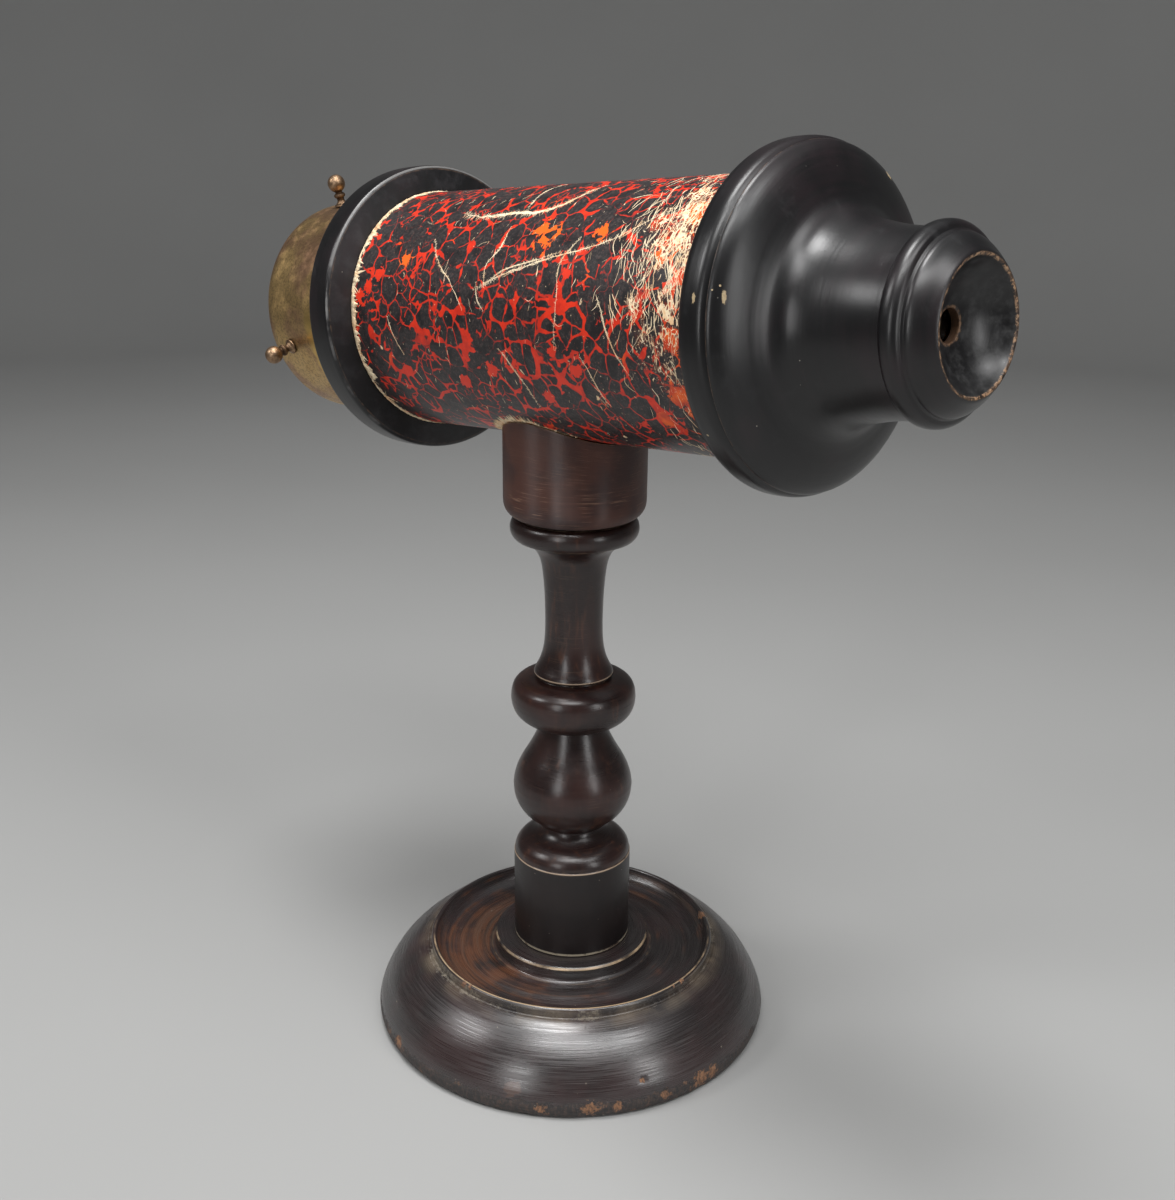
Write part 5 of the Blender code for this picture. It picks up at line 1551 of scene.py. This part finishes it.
class KALEIDOSCOPE_OT_stage(KaleidoscopeOperator, bpy.types.Operator):
    """Make the floor, the lamps, the world and the camera"""

    bl_idname = "kaleidoscope.stage"
    bl_label = "Stage"

    def execute(self, context):
        scene = context.scene
        scene.view_settings.view_transform = "Standard"
        floor = self.make_floor(scene)
        pale = Finish("floor_paper")
        tone = pale.mix(pale.noise(300), (0.33, 0.33, 0.325), (0.37, 0.37, 0.365))
        pale.set(base_color=tone, roughness=0.8)
        floor.data.materials.append(pale.material)
        for name, place, aim, wide, high, power in LAMPS:
            light = bpy.data.lights.new(name, "AREA")
            light.shape = "ELLIPSE"
            light.size = wide
            light.size_y = high
            light.energy = power
            lamp = bpy.data.objects.new(name, light)
            lamp.location = place
            lamp.rotation_euler = (Vector(aim) - Vector(place)).to_track_quat("-Z", "Y").to_euler()
            lamp.visible_camera = False
            scene.collection.objects.link(lamp)
        world = bpy.data.worlds.new("studio")
        world.use_nodes = True
        background = world.node_tree.nodes["Background"]
        background.inputs["Color"].default_value = WORLD_COLOUR
        background.inputs["Strength"].default_value = WORLD_LEVEL
        scene.world = world
        self.make_camera(scene)
        return {"FINISHED"}

    def make_floor(self, scene):
        """A round floor that curves up into a low wall on all sides."""
        section = [(0, 0), (FLOOR_REACH, 0)]
        for k in range(1, BEND_STEPS + 1):
            turn = math.pi / 2 * k / BEND_STEPS
            section.append((FLOOR_REACH + FLOOR_CURVE * math.sin(turn), FLOOR_CURVE * (1 - math.cos(turn))))
        section.append((FLOOR_REACH + FLOOR_CURVE, FLOOR_CURVE + FLOOR_WALL))
        points = [(0, 0, 0)]
        faces = []
        for radius, height in section[1:]:
            for k in range(FLOOR_STEPS):
                turn = 2 * math.pi * k / FLOOR_STEPS
                points.append((radius * math.cos(turn), radius * math.sin(turn), height))
        for row in range(len(section) - 1):
            for k in range(FLOOR_STEPS):
                here = 1 + row * FLOOR_STEPS + k
                beside = 1 + row * FLOOR_STEPS + (k + 1) % FLOOR_STEPS
                if row == 0:
                    faces.append((0, here, beside))
                if row < len(section) - 2:
                    faces.append((here, here + FLOOR_STEPS, beside + FLOOR_STEPS, beside))
        mesh = bpy.data.meshes.new("floor")
        mesh.from_pydata(points, [], faces)
        mesh.shade_smooth()
        floor = bpy.data.objects.new("floor", mesh)
        scene.collection.objects.link(floor)
        return floor

    def make_camera(self, scene):
        """Stand the camera where the photograph was taken from."""
        way = Vector(CAMERA_WAY).normalized()
        right = Vector(CAMERA_RIGHT).normalized()
        low = way.cross(right)
        across = right * math.cos(CAMERA_ROLL) + low * math.sin(CAMERA_ROLL)
        up = right * math.sin(CAMERA_ROLL) - low * math.cos(CAMERA_ROLL)
        data = bpy.data.cameras.new("camera")
        long_side = max(PHOTO_SIZE)
        data.sensor_width = SENSOR
        data.lens = SENSOR * PHOTO_FOCUS / long_side
        data.shift_x = (PHOTO_SIZE[0] / 2 - PHOTO_CENTRE[0]) / long_side
        data.shift_y = (PHOTO_CENTRE[1] - PHOTO_SIZE[1] / 2) / long_side
        camera = bpy.data.objects.new("camera", data)
        turn = Matrix((across, up, -way)).transposed().to_4x4()
        camera.matrix_world = Matrix.Translation(Vector(CAMERA_PLACE) * MM) @ turn
        scene.collection.objects.link(camera)
        scene.camera = camera


class KALEIDOSCOPE_PT_panel(bpy.types.Panel):
    """Sizes, colours and the steps of the build"""

    bl_idname = "KALEIDOSCOPE_PT_panel"
    bl_label = "Kaleidoscope"
    bl_space_type = "VIEW_3D"
    bl_region_type = "UI"
    bl_category = "Kaleidoscope"

    def draw(self, context):
        for group in settings():
            box = self.layout.box()
            for name in group.__annotations__:
                box.prop(group, name)
        for operator in OPERATORS:
            self.layout.operator(operator.bl_idname)


OPERATORS = (
    KALEIDOSCOPE_OT_base, KALEIDOSCOPE_OT_column, KALEIDOSCOPE_OT_cup, KALEIDOSCOPE_OT_bell,
    KALEIDOSCOPE_OT_ring, KALEIDOSCOPE_OT_paper, KALEIDOSCOPE_OT_wear, KALEIDOSCOPE_OT_drum,
    KALEIDOSCOPE_OT_knobs, KALEIDOSCOPE_OT_inside, KALEIDOSCOPE_OT_stage,
)
CLASSES = (KaleidoscopeSizes, KaleidoscopeColours, *OPERATORS, KALEIDOSCOPE_PT_panel)


def register():
    """Register the classes and the scene's settings."""
    for item in CLASSES:
        bpy.utils.register_class(item)
    bpy.types.Scene.kaleidoscope_sizes = bpy.props.PointerProperty(type=KaleidoscopeSizes)
    bpy.types.Scene.kaleidoscope_colours = bpy.props.PointerProperty(type=KaleidoscopeColours)


def unregister():
    """Remove the settings and the classes."""
    del bpy.types.Scene.kaleidoscope_colours
    del bpy.types.Scene.kaleidoscope_sizes
    for item in reversed(CLASSES):
        bpy.utils.unregister_class(item)


def main():
    """Build every piece in turn."""
    register()
    for operator in OPERATORS:
        group, name = operator.bl_idname.split(".")
        getattr(getattr(bpy.ops, group), name)()


if __name__ == "__main__":
    main()
